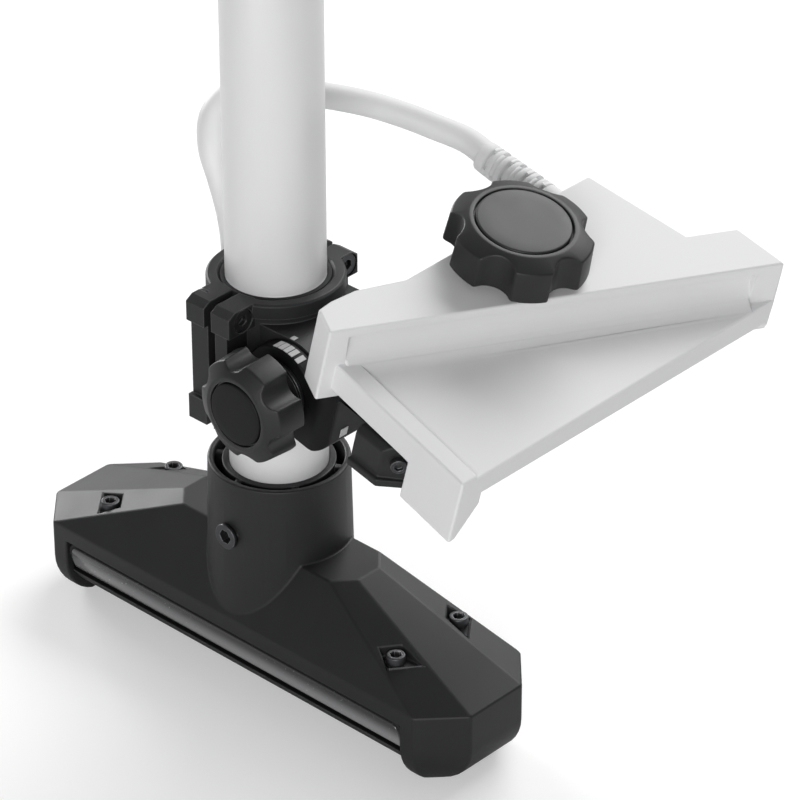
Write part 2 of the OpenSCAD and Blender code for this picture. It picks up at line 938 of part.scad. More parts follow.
module tilt_arm() {
    color(dark)
        in_bracket()
            difference() {
                union() {
                    intersection() {
                        y_extrude(-cheek_out, cheek_out)
                            cheek_outline();
                        linear_extrude(4 * cheek_r, center = true)
                            cheek_plan();
                    }
                    translate([0, 0, table_top - table_t])
                        linear_extrude(table_t) {
                            translate([wall_in, table_out_y])
                                square([table_reach - wall_in, bolt_y - table_out_y]);
                            translate([bolt_x, bolt_y])
                                circle(boss_r);
                            polygon([
                                [wall_in, table_out_y], [lug_reach, table_out_y],
                                [lug_reach, lug_end_y], [wall_in, lug_end_y + lug_reach - table_reach]
                            ]);
                        }
                    translate([bolt_x, bolt_y, table_top - table_t - boss_h])
                        cylinder(h = boss_h + sliver, r = boss_r);
                }
                intersection() {
                    y_cylinder(wall_in, -cheek_in, cheek_in);
                    translate([-wall_in, -cheek_in, -wall_in])
                        cube([3 * wall_in, 2 * cheek_in, 2 * wall_in]);
                }
                translate([-2 * wall_in, -cheek_in, -wall_in])
                    cube([2 * wall_in, 2 * cheek_in, 2 * wall_in]);
                y_cylinder(bolt_hole_r, -2 * cheek_out, 2 * cheek_out);
                y_extrude(cheek_out - nut_h_8 / 2, 2 * cheek_out)
                    hexagon(nut_af_8 + assembly_gap);
                translate([bolt_x, bolt_y, -wall_in])
                    cylinder(h = 4 * wall_in, r = bolt_hole_r);
                translate([bolt_x, bolt_y, table_top - table_t - boss_h - through])
                    linear_extrude(nut_h_8 + through)
                        hexagon(nut_af_8 + assembly_gap);
                at_lock_screw()
                    translate([0, 0, -lock_screw_l - through])
                        cylinder(h = lock_screw_l + through, r = lock_shaft_r + thread_gap);
            }
}

module tilt_pointer() {
    color(white)
        translate([pivot_x, 0, pivot_z])
            rotate([0, pointer_angle, 0])
                translate([-tick_w / 2, -barrel_l / 2 + fit_gap, barrel_r])
                    cube([tick_w, pointer_l, tick_t]);
}

// A lobed hand knob on the +Z axis, with its washer face at the origin
module lobed_knob(r, cap_r, neck_r, neck_h, lobe_h, shaft_r) {
    lobe_z = neck_h + lobe_h;
    scallop = r * 0.3;
    difference() {
        union() {
            cylinder(h = neck_h + lobe_h / 2, r = neck_r);
            intersection() {
                translate([0, 0, neck_h])
                    linear_extrude(lobe_h + knob_cone)
                        difference() {
                            circle(r);
                            for (i = [0:knob_lobes - 1])
                                rotate(360 * (i + 0.5) / knob_lobes)
                                    translate([r + scallop * 0.15, 0])
                                        circle(scallop);
                        }
                rotate_extrude()
                    polygon([
                        [0, neck_h], [r - 0.8, neck_h], [r, neck_h + 0.8], [r, lobe_z],
                        [cap_r + 1.8, lobe_z + knob_cone], [0, lobe_z + knob_cone]
                    ]);
            }
        }
        translate([0, 0, lobe_z + knob_cone - cap_t])
            cylinder(h = cap_t + through, r = cap_r + cap_gap);
        translate([0, 0, -through])
            cylinder(h = lobe_z, r = shaft_r + fit_gap);
    }
}

// The disc that closes a knob's top
module knob_cap(cap_r, cap_z) {
    translate([0, 0, cap_z - cap_t])
        rotate_extrude()
            polygon([
                [0, 0], [cap_r, 0], [cap_r, cap_t - 0.2], [cap_r - 0.5, cap_t + cap_proud - 0.1],
                [cap_r * 0.6, cap_t + cap_proud], [0, cap_t + cap_proud]
            ]);
}

// Holds its children on the tilt axis, facing out of the front cheek
module at_tilt_knob() {
    in_bracket()
        translate([0, -cheek_out - washer_t - run_gap, 0])
            rotate([90, 0, 0])
                children();
}

// Holds its children on the wedge bolt's axis, facing up out of the wedge
module at_wedge_knob() {
    in_bracket()
        translate([bolt_x, bolt_y, wedge_top + wedge_washer_t + run_gap])
            children();
}

module tilt_knob() {
    color(dark)
        at_tilt_knob()
            rotate(tilt_knob_turn)
                lobed_knob(tilt_knob_r, tilt_cap_r, tilt_neck_r, tilt_neck_h, tilt_lobe_h, bolt_r);
}

module tilt_knob_cap() {
    color(darker)
        at_tilt_knob()
            knob_cap(tilt_cap_r, tilt_neck_h + tilt_lobe_h + knob_cone);
}

module tilt_bolt() {
    color(steel)
        in_bracket()
            y_cylinder(bolt_r, -cheek_out - washer_t - run_gap - tilt_neck_h - 6, cheek_out + 0.4);
}

module tilt_washer() {
    color(steel)
        in_bracket()
            difference() {
                y_cylinder(tilt_washer_r, -cheek_out - washer_t, -cheek_out);
                y_cylinder(bolt_hole_r, -2 * cheek_out, 0);
            }
}

module tilt_nut() {
    color(steel)
        in_bracket()
            difference() {
                y_extrude(cheek_out - nut_h_8 / 2 + fit_gap, cheek_out + nut_h_8 / 2)
                    hexagon(nut_af_8);
                y_cylinder(bolt_r + thread_gap, 0, 2 * cheek_out);
            }
}

// Holds its children at the lock screw, with +Z out of the block's slanted corner
module at_lock_screw() {
    translate(lock_screw_at)
        rotate([0, 0, -45])
            rotate([0, 90, 0])
                children();
}

module lock_block() {
    color(dark)
        in_bracket()
            difference() {
                union() {
                    intersection() {
                        translate([0, 0, lock_low])
                            linear_extrude(lock_top - lock_low)
                                polygon([
                                    [lock_x, table_out_y], [lock_x, lock_y], [lock_end - lock_cut, lock_y],
                                    [lock_end, lock_y + lock_cut], [lock_end, table_out_y]
                                ]);
                        x_extrude(0, 2 * lock_end)
                            polygon([
                                [table_out_y - fit_gap, lock_low], [lock_y, lock_low],
                                [lock_y, lock_top - lock_bevel], [lock_y + lock_bevel, lock_top],
                                [table_out_y - fit_gap, lock_top]
                            ]);
                    }
                    translate([0, 0, lock_low - lock_lip])
                        linear_extrude(2 * lock_lip)
                            polygon([
                                [lock_x, table_out_y - fit_gap], [lock_x, lock_y - lock_lip],
                                [lock_end - lock_cut + 1, lock_y - lock_lip],
                                [lock_end, lock_y + lock_cut - lock_lip], [lock_end, table_out_y - fit_gap]
                            ]);
                }
                at_lock_screw()
                    translate([0, 0, -lock_screw_l - through])
                        cylinder(h = lock_screw_l + 2 * through, r = lock_shaft_r + assembly_gap);
            }
}

module lock_screw() {
    color(steel)
        in_bracket()
            at_lock_screw()
                translate([0, 0, fit_gap])
                    cap_screw(lock_shaft_r, lock_screw_l, lock_head_r, lock_head_h, 2.5);
}

// Plan of the wedge's thick top plate, from its front corner
module plate_outline() {
    polygon([
        [0, 0], [wedge_short, wedge_long], [plate_ear, wedge_long], [plate_ear - 6.6, plate_end + 4.8],
        [plate_back, plate_end], [plate_back, 35.2], [plate_shoulder + 0.6, 19.4],
        [plate_shoulder, 10.2], [plate_shoulder + 0.6, 4.4]
    ]);
}

// The slanting space under the wedge's sunken floor, in front of its thick block
module shelf_underside() {
    intersection() {
        linear_extrude(wedge_top)
            polygon([
                [0, 0], [0, -through], [wedge_short + through, -through],
                [wedge_short + through, wedge_long + 2 * through], [wedge_short, wedge_long]
            ]);
        y_extrude(-2 * through, wedge_long + 3 * through)
            polygon([
                [-through, wedge_low - through], [wedge_short + 2 * through, wedge_low - through],
                [wedge_short + 2 * through, wedge_low + shelf_lift],
                [wedge_short, wedge_low + shelf_lift],
                [0, wedge_low + shelf_lift + shelf_rise], [-through, wedge_low + shelf_lift + shelf_rise]
            ]);
    }
}

module wedge_body() {
    run = front_len - post_start - post_end;
    groove_low = rim_z - floor_drop;
    color(pale)
        in_bracket()
            difference() {
                translate([wedge_x, wedge_y, 0])
                    difference() {
                        union() {
                            difference() {
                                union() {
                                    translate([0, 0, wedge_low])
                                        linear_extrude(wedge_t)
                                            plate_outline();
                                    translate([0, 0, wedge_low])
                                        linear_extrude(rim_z - wedge_low)
                                            polygon([
                                                [0, 0], [wedge_short, 0], [wedge_short, wedge_long]
                                            ]);
                                }
                                difference() {
                                    translate([0, 0, groove_low])
                                        linear_extrude(floor_drop + through)
                                            polygon([
                                                [0, 0], [wedge_short + through, 0],
                                                [wedge_short + through, wedge_long], [wedge_short, wedge_long]
                                            ]);
                                    translate([-through, -through, groove_low - through])
                                        cube([wedge_short + 4 * through, ledge_w + through, step_depth]);
                                    linear_extrude(wedge_top)
                                        rotate(front_angle)
                                            translate([-through, 0])
                                                square([front_len + 2 * through, pod_width]);
                                }
                                rotate([0, 0, front_angle])
                                    translate([post_start, -through, groove_low])
                                        cube([run, groove_in + through, wedge_top - groove_top - groove_low]);
                                shelf_underside();
                            }
                            rotate([0, 0, front_angle])
                                x_extrude(post_start - sliver, post_start + run + sliver)
                                    polygon(concat(
                                        [[groove_in + 1, groove_low - 1], [groove_in - floor_fillet, groove_low - 1]],
                                        [for (i = [0:fillet_steps])
                                            let (a = 90 * i / fillet_steps)
                                            [
                                                groove_in - floor_fillet + floor_fillet * sin(a),
                                                groove_low + floor_fillet * (1 - cos(a))
                                            ]],
                                        [[groove_in + 1, groove_low + floor_fillet]]
                                    ));
                            x_extrude(keel_start, wedge_short)
                                polygon([
                                    [0, rim_z - 1], [keel_w, rim_z - 1], [keel_w, wedge_low],
                                    [keel_tip, wedge_low - keel_depth], [0, wedge_low - keel_depth]
                                ]);
                        }
                        y_extrude(keel_w, wedge_long + through)
                            polygon([
                                [wedge_short + through, wedge_low + shelf_lift - through],
                                [wedge_short + through, wedge_low + shelf_lift + leg_chamfer + through],
                                [wedge_short - leg_chamfer - through, wedge_low + shelf_lift - through]
                            ]);
                        translate([long_array_at[0], long_array_at[1], array_z])
                            cube(long_array);
                        translate([side_array_at[0], side_array_at[1], side_array_z])
                            cube(side_array);
                    }
                translate([bolt_x, bolt_y, wedge_low - through])
                    cylinder(h = wedge_t + 2 * through, r = bolt_hole_r);
                translate([gland_x, gland_y, gland_z])
                    x_cylinder(gland_r - 1 + assembly_gap, -through, 6);
            }
}

// A block that stands on the floor of a closed pocket, clear of its walls
module array_block(size, at, z) {
    in_bracket()
        translate([wedge_x + at[0] + array_gap, wedge_y + at[1] + array_gap, z])
            cube([size[0] - 2 * array_gap, size[1] - 2 * array_gap, size[2] - array_gap]);
}

module wedge_array_long() {
    color(amber)
        array_block(long_array, long_array_at, array_z);
}

module wedge_array_side() {
    color(amber)
        array_block(side_array, side_array_at, side_array_z);
}

module wedge_knob() {
    color(dark)
        at_wedge_knob()
            rotate(wedge_knob_turn)
                lobed_knob(wedge_knob_r, wedge_cap_r, wedge_neck_r, wedge_neck_h, wedge_lobe_h, bolt_r);
}

module wedge_knob_cap() {
    color(dark)
        at_wedge_knob()
            knob_cap(wedge_cap_r, wedge_neck_h + wedge_lobe_h + knob_cone);
}

module wedge_bolt() {
    color(steel)
        in_bracket()
            translate([bolt_x, bolt_y, table_top - table_t - boss_h + 0.2])
                cylinder(h = wedge_top - table_top + table_t + boss_h + 10, r = bolt_r);
}

module wedge_washer() {
    color(darker)
        in_bracket()
            translate([bolt_x, bolt_y, wedge_top])
                difference() {
                    cylinder(h = wedge_washer_t, r = wedge_washer_r);
                    translate([0, 0, -through])
                        cylinder(h = wedge_washer_t + 2 * through, r = bolt_hole_r);
                }
}

module wedge_nut() {
    color(steel)
        in_bracket()
            translate([bolt_x, bolt_y, table_top - table_t - boss_h])
                difference() {
                    linear_extrude(nut_h_8 - fit_gap)
                        hexagon(nut_af_8);
                    translate([0, 0, -through])
                        cylinder(h = nut_h_8 + 2 * through, r = bolt_r + thread_gap);
                }
}

module cable_gland() {
    pitch = (gland_l - 7) / gland_grooves;
    color(pale)
        in_bracket()
            translate([gland_x, gland_y, gland_z])
                rotate([0, -90, 0])
                    difference() {
                        union() {
                            cylinder(h = gland_l, r1 = gland_r, r2 = gland_tip_r);
                            translate([0, 0, -5.5])
                                cylinder(h = 5.5 + sliver, r = gland_r - 1);
                        }
                        for (i = [0:gland_grooves - 1])
                            translate([0, 0, 5 + i * pitch])
                                difference() {
                                    cylinder(h = pitch * 0.4, r = 2 * gland_r);
                                    translate([0, 0, -through])
                                        cylinder(h = pitch + 2 * through, r = lead_r + 0.2);
                                }
                    }
}

module lead() {
    route = mid_points(lead_points);
    rings = len(route);
    color(pale)
        polyhedron(
            points = route_rings(route, lead_r),
            faces = concat(
                [[for (k = [0:lead_sides - 1]) k]],
                [for (i = [0:rings - 2])
                    for (k = [0:lead_sides - 1])
                        [
                            i * lead_sides + k,
                            (i + 1) * lead_sides + k,
                            (i + 1) * lead_sides + (k + 1) % lead_sides,
                            i * lead_sides + (k + 1) % lead_sides
                        ]],
                [[for (k = [lead_sides - 1:-1:0]) (rings - 1) * lead_sides + k]]
            )
        );
}

pod_housing();
pod_base();
pod_windows();
window_seals();
pod_piezo_bars();
pod_backing();
pod_circuit_board();
pod_screws();
pole_socket();
set_screw();
pole();
lead_grommet();
clamp_rear();
clamp_front();
clamp_liner();
clamp_bolts();
clamp_nuts();
tilt_scale();
tilt_arm();
tilt_pointer();
tilt_knob();
tilt_knob_cap();
tilt_bolt();
tilt_washer();
tilt_nut();
lock_block();
lock_screw();
wedge_body();
wedge_array_long();
wedge_array_side();
wedge_knob();
wedge_knob_cap();
wedge_bolt();
wedge_washer();
wedge_nut();
cable_gland();
lead();
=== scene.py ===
"""Looks of a pole-mounted sonar transducer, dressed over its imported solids."""

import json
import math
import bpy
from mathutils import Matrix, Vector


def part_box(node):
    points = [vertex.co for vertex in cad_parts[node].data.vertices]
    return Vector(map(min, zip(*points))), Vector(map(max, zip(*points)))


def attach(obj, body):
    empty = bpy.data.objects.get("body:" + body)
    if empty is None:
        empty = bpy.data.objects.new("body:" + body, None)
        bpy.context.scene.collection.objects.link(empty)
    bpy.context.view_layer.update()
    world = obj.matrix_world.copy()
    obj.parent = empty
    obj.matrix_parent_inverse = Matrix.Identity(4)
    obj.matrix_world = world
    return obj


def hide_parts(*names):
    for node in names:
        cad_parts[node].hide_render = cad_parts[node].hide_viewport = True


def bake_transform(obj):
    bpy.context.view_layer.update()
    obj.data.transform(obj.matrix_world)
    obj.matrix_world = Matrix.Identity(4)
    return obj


bl_info = {
    "name": "Pole Sonar Transducer",
    "version": (1, 0, 0),
    "blender": (4, 5, 0),
    "location": "3D View > Sidebar > Sonar",
    "description": "Winged sonar pod on a pole with a tilting wedge, finished for a studio picture",
    "category": "Object",
}

import bmesh
import bpy
from mathutils import Matrix, Vector

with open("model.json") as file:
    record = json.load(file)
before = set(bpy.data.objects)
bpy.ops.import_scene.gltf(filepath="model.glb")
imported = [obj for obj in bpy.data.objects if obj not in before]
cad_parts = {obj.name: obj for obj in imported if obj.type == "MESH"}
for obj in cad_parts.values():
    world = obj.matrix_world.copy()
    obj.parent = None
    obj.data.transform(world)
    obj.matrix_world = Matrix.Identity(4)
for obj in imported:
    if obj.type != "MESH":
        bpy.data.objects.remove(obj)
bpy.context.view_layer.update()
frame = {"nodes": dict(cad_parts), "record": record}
NODES = frame["nodes"]
MM = 0.001

# The bracket's own frame: its origin on the tilt axis, turned to the rest tilt
BRACKET = Matrix.Translation((0.023, 0, 0.1172)) @ Matrix.Rotation(math.radians(14), 4, "Y")

BODY_OF = {
    node: body
    for body, nodes in frame["record"]["behaviour"]["bodies"].items()
    for node in nodes
}

# Each softbox: name, place, width, height and power
SOFTBOXES = (
    ("softbox_low", (-1.95, 0.45, 0.62), 1.0, 0.5, 27),
    ("softbox_high", (-0.3, 1.7, 1.5), 1.8, 1.4, 46),
    ("softbox_front", (1.1, -1.35, 0.75), 0.7, 0.7, 16.5),
    ("softbox_floor", (0.25, -1.5, 0.2), 0.8, 0.3, 2.5),
)
LIGHT_AIM = Vector((0, 0, 0.08))
FLOOR_SIZE = 6
FLOOR_GLOW = 0.32
WORLD_LIGHT = 0.2

# Closer points than this are one point, and faces within this angle are one flat face
WELD = 2e-6
FLAT = math.radians(0.3)

LOBES = 6
KNOB_CONE = 2.3


class PodFinish(bpy.types.PropertyGroup):
    """Colours and edge radii that a user would change."""

    black: bpy.props.FloatVectorProperty(
        name="Moulding black", description="Colour of the dark mouldings",
        subtype="COLOR", size=3, min=0, max=1, default=(0.014, 0.0143, 0.015),
    )
    knob_black: bpy.props.FloatVectorProperty(
        name="Knob black", description="Colour of the hand knobs",
        subtype="COLOR", size=3, min=0, max=1, default=(0.014, 0.0143, 0.015),
    )
    # The windows' colour near their bottom; the material darkens them towards the top, a painted
    # reflection of the floor
    window_black: bpy.props.FloatVectorProperty(
        name="Window black", description="Colour of the acoustic windows",
        subtype="COLOR", size=3, min=0, max=1, default=(0.24, 0.24, 0.245),
    )
    pale: bpy.props.FloatVectorProperty(
        name="Pale grey", description="Colour of the wedge's plastic",
        subtype="COLOR", size=3, min=0, max=1, default=(0.72, 0.72, 0.725),
    )
    pole_pale: bpy.props.FloatVectorProperty(
        name="Pole grey", description="Colour of the painted pole",
        subtype="COLOR", size=3, min=0, max=1, default=(0.74, 0.74, 0.745),
    )
    lead_pale: bpy.props.FloatVectorProperty(
        name="Lead grey", description="Colour of the lead and its strain relief",
        subtype="COLOR", size=3, min=0, max=1, default=(0.76, 0.76, 0.765),
    )
    mark_white: bpy.props.FloatVectorProperty(
        name="Mark white", description="Colour of the painted scale",
        subtype="COLOR", size=3, min=0, max=1, default=(0.44, 0.44, 0.44),
    )
    edge_radius: bpy.props.FloatProperty(
        name="Edge radius", description="Radius of the moulded edges of the pod",
        subtype="DISTANCE", unit="LENGTH", min=0.0001, max=0.002, default=0.0006,
    )
    lead_diameter: bpy.props.FloatProperty(
        name="Lead diameter", description="Outside diameter of the lead",
        subtype="DISTANCE", unit="LENGTH", min=0.004, max=0.01, default=0.008,
    )


class StudioSetup(bpy.types.PropertyGroup):
    """Camera and floor."""

    camera_place: bpy.props.FloatVectorProperty(
        name="Camera", description="Place of the camera",
        subtype="XYZ", unit="LENGTH", size=3, default=(0.8028, -0.8004, 0.7979),
    )
    camera_azimuth: bpy.props.FloatProperty(
        name="Azimuth", description="Turn of the camera round the pole",
        subtype="ANGLE", unit="ROTATION", default=math.radians(43.254),
    )
    camera_drop: bpy.props.FloatProperty(
        name="Drop", description="How far the camera looks down",
        subtype="ANGLE", unit="ROTATION", default=math.radians(31.848),
    )
    camera_roll: bpy.props.FloatProperty(
        name="Roll", description="Roll of the camera about its view",
        subtype="ANGLE", unit="ROTATION", default=math.radians(-0.088),
    )
    lens: bpy.props.FloatProperty(
        name="Lens", description="Focal length on a 36 mm sensor", min=20, max=400, default=201.63,
    )
    floor_colour: bpy.props.FloatVectorProperty(
        name="Floor", description="Colour of the studio floor",
        subtype="COLOR", size=3, min=0, max=1, default=(0.74, 0.74, 0.74),
    )


class Val:
    """A shader socket that takes part in Python arithmetic."""

    def __init__(self, tree, socket):
        self.tree = tree
        self.socket = socket

    def _math(self, operation, first, second):
        """A Math node fed by two sockets or numbers."""
        node = self.tree.nodes.new("ShaderNodeMath")
        node.operation = operation
        for slot, value in zip(node.inputs, (first, second)):
            if isinstance(value, Val):
                self.tree.links.new(value.socket, slot)
            else:
                slot.default_value = value
        return Val(self.tree, node.outputs[0])

    def __add__(self, other):
        return self._math("ADD", self, other)

    def __radd__(self, other):
        return self._math("ADD", other, self)

    def __sub__(self, other):
        return self._math("SUBTRACT", self, other)

    def __rsub__(self, other):
        return self._math("SUBTRACT", other, self)

    def __mul__(self, other):
        return self._math("MULTIPLY", self, other)

    def __rmul__(self, other):
        return self._math("MULTIPLY", other, self)


class Graph:
    """A node tree that is built node by node."""

    def __init__(self, tree):
        self.tree = tree

    def node(self, kind, settings=None, sockets=None, out=0):
        """Adds a node: its settings first, then the values or links of its sockets."""
        node = self.tree.nodes.new(kind)
        for key, value in (settings or {}).items():
            setattr(node, key, value)
        for key, value in (sockets or {}).items():
            slot = node.inputs[key]
            if isinstance(value, Val):
                self.tree.links.new(value.socket, slot)
            elif slot.type == "RGBA" and len(value) == 3:
                slot.default_value = (*value, 1)
            else:
                slot.default_value = value
        return Val(self.tree, node.outputs[out] if node.outputs else None)


class Finish(Graph):
    """A material."""

    def __init__(self, name):
        self.material = bpy.data.materials.new(name)
        self.material.use_nodes = True
        super().__init__(self.material.node_tree)
        self.tree.nodes.clear()
        self.place = self.node("ShaderNodeTexCoord", out="Object")

    def noise(self, size, detail=2.0, stretch=None):
        """Noise whose features are about a size in metres, stretched along the axes."""
        place = self.place
        if stretch:
            place = self.node("ShaderNodeMapping", {}, {"Vector": place, "Scale": stretch})
        return self.node(
            "ShaderNodeTexNoise", {}, {"Vector": place, "Scale": 1 / size, "Detail": detail}
        )

    def fade(self, value, low, high, start=0.0, end=1.0):
        """A value carried from one range to another, with soft ends."""
        return self.node(
            "ShaderNodeMapRange", {"interpolation_type": "SMOOTHSTEP"},
            {"Value": value, "From Min": low, "From Max": high, "To Min": start, "To Max": end},
        )

    def mix(self, factor, first, second):
        """A colour between two."""
        return self.node(
            "ShaderNodeMix", {"data_type": "RGBA"}, {0: factor, 6: first, 7: second}, out=2
        )

    def edges(self, radius):
        """A mask of the edges within a radius, from how far the rounded normal turns away."""
        soft = self.node("ShaderNodeBevel", {"samples": 6}, {"Radius": radius})
        flat = self.node("ShaderNodeNewGeometry", out="Normal")
        turn = self.node(
            "ShaderNodeVectorMath", {"operation": "DOT_PRODUCT"}, {0: soft, 1: flat}, out="Value"
        )
        return self.fade(turn, 0.99, 0.90)

    def bump(self, height, depth, strength):
        """A normal that follows a height of some depth in metres."""
        return self.node(
            "ShaderNodeBump", {}, {"Height": height, "Distance": depth, "Strength": strength}
        )

    def end(self, shader):
        """Ends the material in a shader."""
        self.node("ShaderNodeOutputMaterial", {}, {"Surface": shader})
        return self.material

    def surface(self, sockets):
        """Ends the material in one principled surface."""
        return self.end(self.node("ShaderNodeBsdfPrincipled", {}, sockets))


def shade(colour, factor):
    """A colour made lighter or darker."""
    return tuple(min(channel * factor, 1.0) for channel in colour)


def moulded_black(colour, name="moulded_black", sheen=0.36):
    """Spark-textured black nylon, paler along its edges: a painted highlight, broken up unevenly
    like rubbed wear.
    """
    finish = Finish(name)
    grain = finish.noise(0.00028, 3.0)
    cloud = finish.noise(0.016, 3.0)
    # Painted highlight along the edges, broken up by noise: the edges turn towards pale grey
    edge_highlight_and_wear = finish.edges(0.0006) * finish.fade(finish.noise(0.006, 4.0), 0.35, 0.7, 0.5, 1.0)
    tone = finish.mix(cloud, shade(colour, 0.86), shade(colour, 1.16))
    tone = finish.mix(edge_highlight_and_wear * 0.8, tone, (0.15, 0.15, 0.155))
    return finish.surface({
        "Base Color": tone,
        "Roughness": 0.40 + 0.10 * cloud + 0.10 * grain - 0.08 * edge_highlight_and_wear,
        "Specular IOR Level": sheen,
        "Normal": finish.bump(grain, 0.000035, 0.5),
    })


def knob_nylon(colour, name="knob_nylon"):
    """Fine satin nylon of the hand knobs, polished on its lobes, whose edges carry a painted
    highlight.
    """
    finish = Finish(name)
    grain = finish.noise(0.00022, 2.0)
    cloud = finish.noise(0.009, 3.0)
    # Painted highlight along the lobes' edges, broken up by noise
    edge_highlight_and_wear = finish.edges(0.0006) * finish.fade(finish.noise(0.004, 3.0), 0.3, 0.65, 0.6, 1.0)
    tone = finish.mix(cloud, shade(colour, 0.88), shade(colour, 1.14))
    tone = finish.mix(edge_highlight_and_wear * 0.9, tone, (0.24, 0.24, 0.245))
    return finish.surface({
        "Base Color": tone,
        "Roughness": 0.36 + 0.10 * cloud + 0.08 * grain - 0.10 * edge_highlight_and_wear,
        "Specular IOR Level": 0.4,
        "Normal": finish.bump(grain, 0.00003, 0.45),
    })


def window_urethane(colour):
    """Glossy cast urethane of the acoustic windows, with faint flow waves and a painted reflection
    of the floor that leaves them paler towards the bottom.
    """
    finish = Finish("window_urethane")
    wave = finish.noise(0.010, 2.0, stretch=(0.35, 1.0, 1.0))
    dust = finish.fade(finish.noise(0.0009, 3.0), 0.62, 0.78)
    height = finish.node("ShaderNodeSeparateXYZ", {}, {"Vector": finish.place}, out="Z")
    low, high = (corner[2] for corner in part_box("pod_windows"))
    # Painted reflection of the floor: the windows darken towards their top and keep their colour
    # near the bottom
    depth = finish.fade(height, low + 0.25 * (high - low), low + 0.9 * (high - low))
    tone = finish.mix(depth, colour, shade(colour, 0.12))
    return finish.surface({
        "Base Color": finish.mix(dust * 0.2, tone, shade(colour, 1.3)),
        "Roughness": 0.16 + 0.10 * wave + 0.12 * dust,
        "Coat Weight": 0.35,
        "Coat Roughness": 0.08,
        "Normal": finish.bump(wave, 0.00006, 0.25),
    })


def seal_rubber():
    """Dull black rubber with a dusty bloom."""
    finish = Finish("seal_rubber")
    grain = finish.noise(0.0004, 3.0)
    bloom = finish.noise(0.007, 4.0)
    return finish.surface({
        "Base Color": finish.mix(bloom, (0.006, 0.006, 0.0065), (0.014, 0.014, 0.015)),
        "Roughness": 0.72 + 0.16 * bloom,
        "Normal": finish.bump(grain, 0.00005, 0.5),
    })


def pale_plastic(colour):
    """Pale moulded plastic of the wedge: fine texture, soft mottling, and edges made slightly
    lighter by a painted highlight.
    """
    finish = Finish("pale_plastic")
    grain = finish.noise(0.00035, 3.0)
    cloud = finish.noise(0.03, 4.0)
    # Painted highlight: every edge a little lighter
    edge_highlight_and_wear = finish.edges(0.0012)
    tone = finish.mix(cloud, shade(colour, 0.965), shade(colour, 1.03))
    tone = finish.mix(edge_highlight_and_wear * 0.4, tone, shade(colour, 1.12))
    return finish.surface({
        "Base Color": tone,
        "Roughness": 0.42 + 0.10 * cloud + 0.06 * grain,
        "Normal": finish.bump(grain, 0.00003, 0.35),
    })


def painted_pole(colour):
    """Satin paint on drawn tube, with faint marks along its length."""
    finish = Finish("painted_pole")
    drawn = finish.noise(0.0011, 3.0, stretch=(1.0, 1.0, 0.025))
    cloud = finish.noise(0.02, 3.0, stretch=(1.0, 1.0, 0.3))
    peel = finish.noise(0.0012, 2.0)
    scuff = finish.fade(drawn, 0.66, 0.8) * finish.fade(cloud, 0.5, 0.7)
    tone = finish.mix(cloud, shade(colour, 0.97), shade(colour, 1.02))
    return finish.surface({
        "Base Color": finish.mix(scuff * 0.35, tone, shade(colour, 0.8)),
        "Roughness": 0.24 + 0.08 * cloud + 0.03 * drawn,
        "Normal": finish.bump(peel * 0.6 + drawn * 0.4, 0.00004, 0.3),
    })


def lead_sheath(colour):
    """Soft pale sheath of the lead, with a fine extruded grain."""
    finish = Finish("lead_sheath")
    grain = finish.noise(0.0005, 3.0)
    cloud = finish.noise(0.014, 3.0)
    return finish.surface({
        "Base Color": finish.mix(cloud, shade(colour, 0.95), shade(colour, 1.04)),
        "Roughness": 0.50 + 0.12 * cloud,
        "Normal": finish.bump(grain, 0.00003, 0.4),
    })


def oxide_steel():
    """Black-oxide steel of the screws, bright where a key has rubbed it."""
    finish = Finish("oxide_steel")
    grain = finish.noise(0.0003, 3.0)
    edge_highlight_and_wear = finish.edges(0.0005) * finish.fade(finish.noise(0.002, 3.0), 0.3, 0.6, 0.3, 1.0)
    return finish.surface({
        "Base Color": finish.mix(edge_highlight_and_wear, (0.075, 0.076, 0.08), (0.38, 0.38, 0.39)),
        "Metallic": 0.9,
        "Roughness": 0.38 + 0.14 * grain - 0.1 * edge_highlight_and_wear,
        "Normal": finish.bump(grain, 0.00002, 0.4),
    })


def mark_paint(colour):
    """Pad-printed white paint with a slightly uneven film."""
    finish = Finish("mark_paint")
    film = finish.noise(0.0006, 3.0)
    return finish.surface({
        "Base Color": finish.mix(finish.fade(film, 0.3, 0.6), shade(colour, 0.88), colour),
        "Roughness": 0.48 + 0.12 * film,
        "Normal": finish.bump(film, 0.00002, 0.3),
    })


def inner_finish(name, low, high, size, roughness):
    """A plain inside material: two tones, mottled."""
    finish = Finish(name)
    cloud = finish.noise(size, 4.0)
    return finish.surface({
        "Base Color": finish.mix(cloud, low, high),
        "Roughness": roughness + 0.12 * cloud,
        "Normal": finish.bump(cloud, 0.00005, 0.3),
    })


MATERIALS = {}


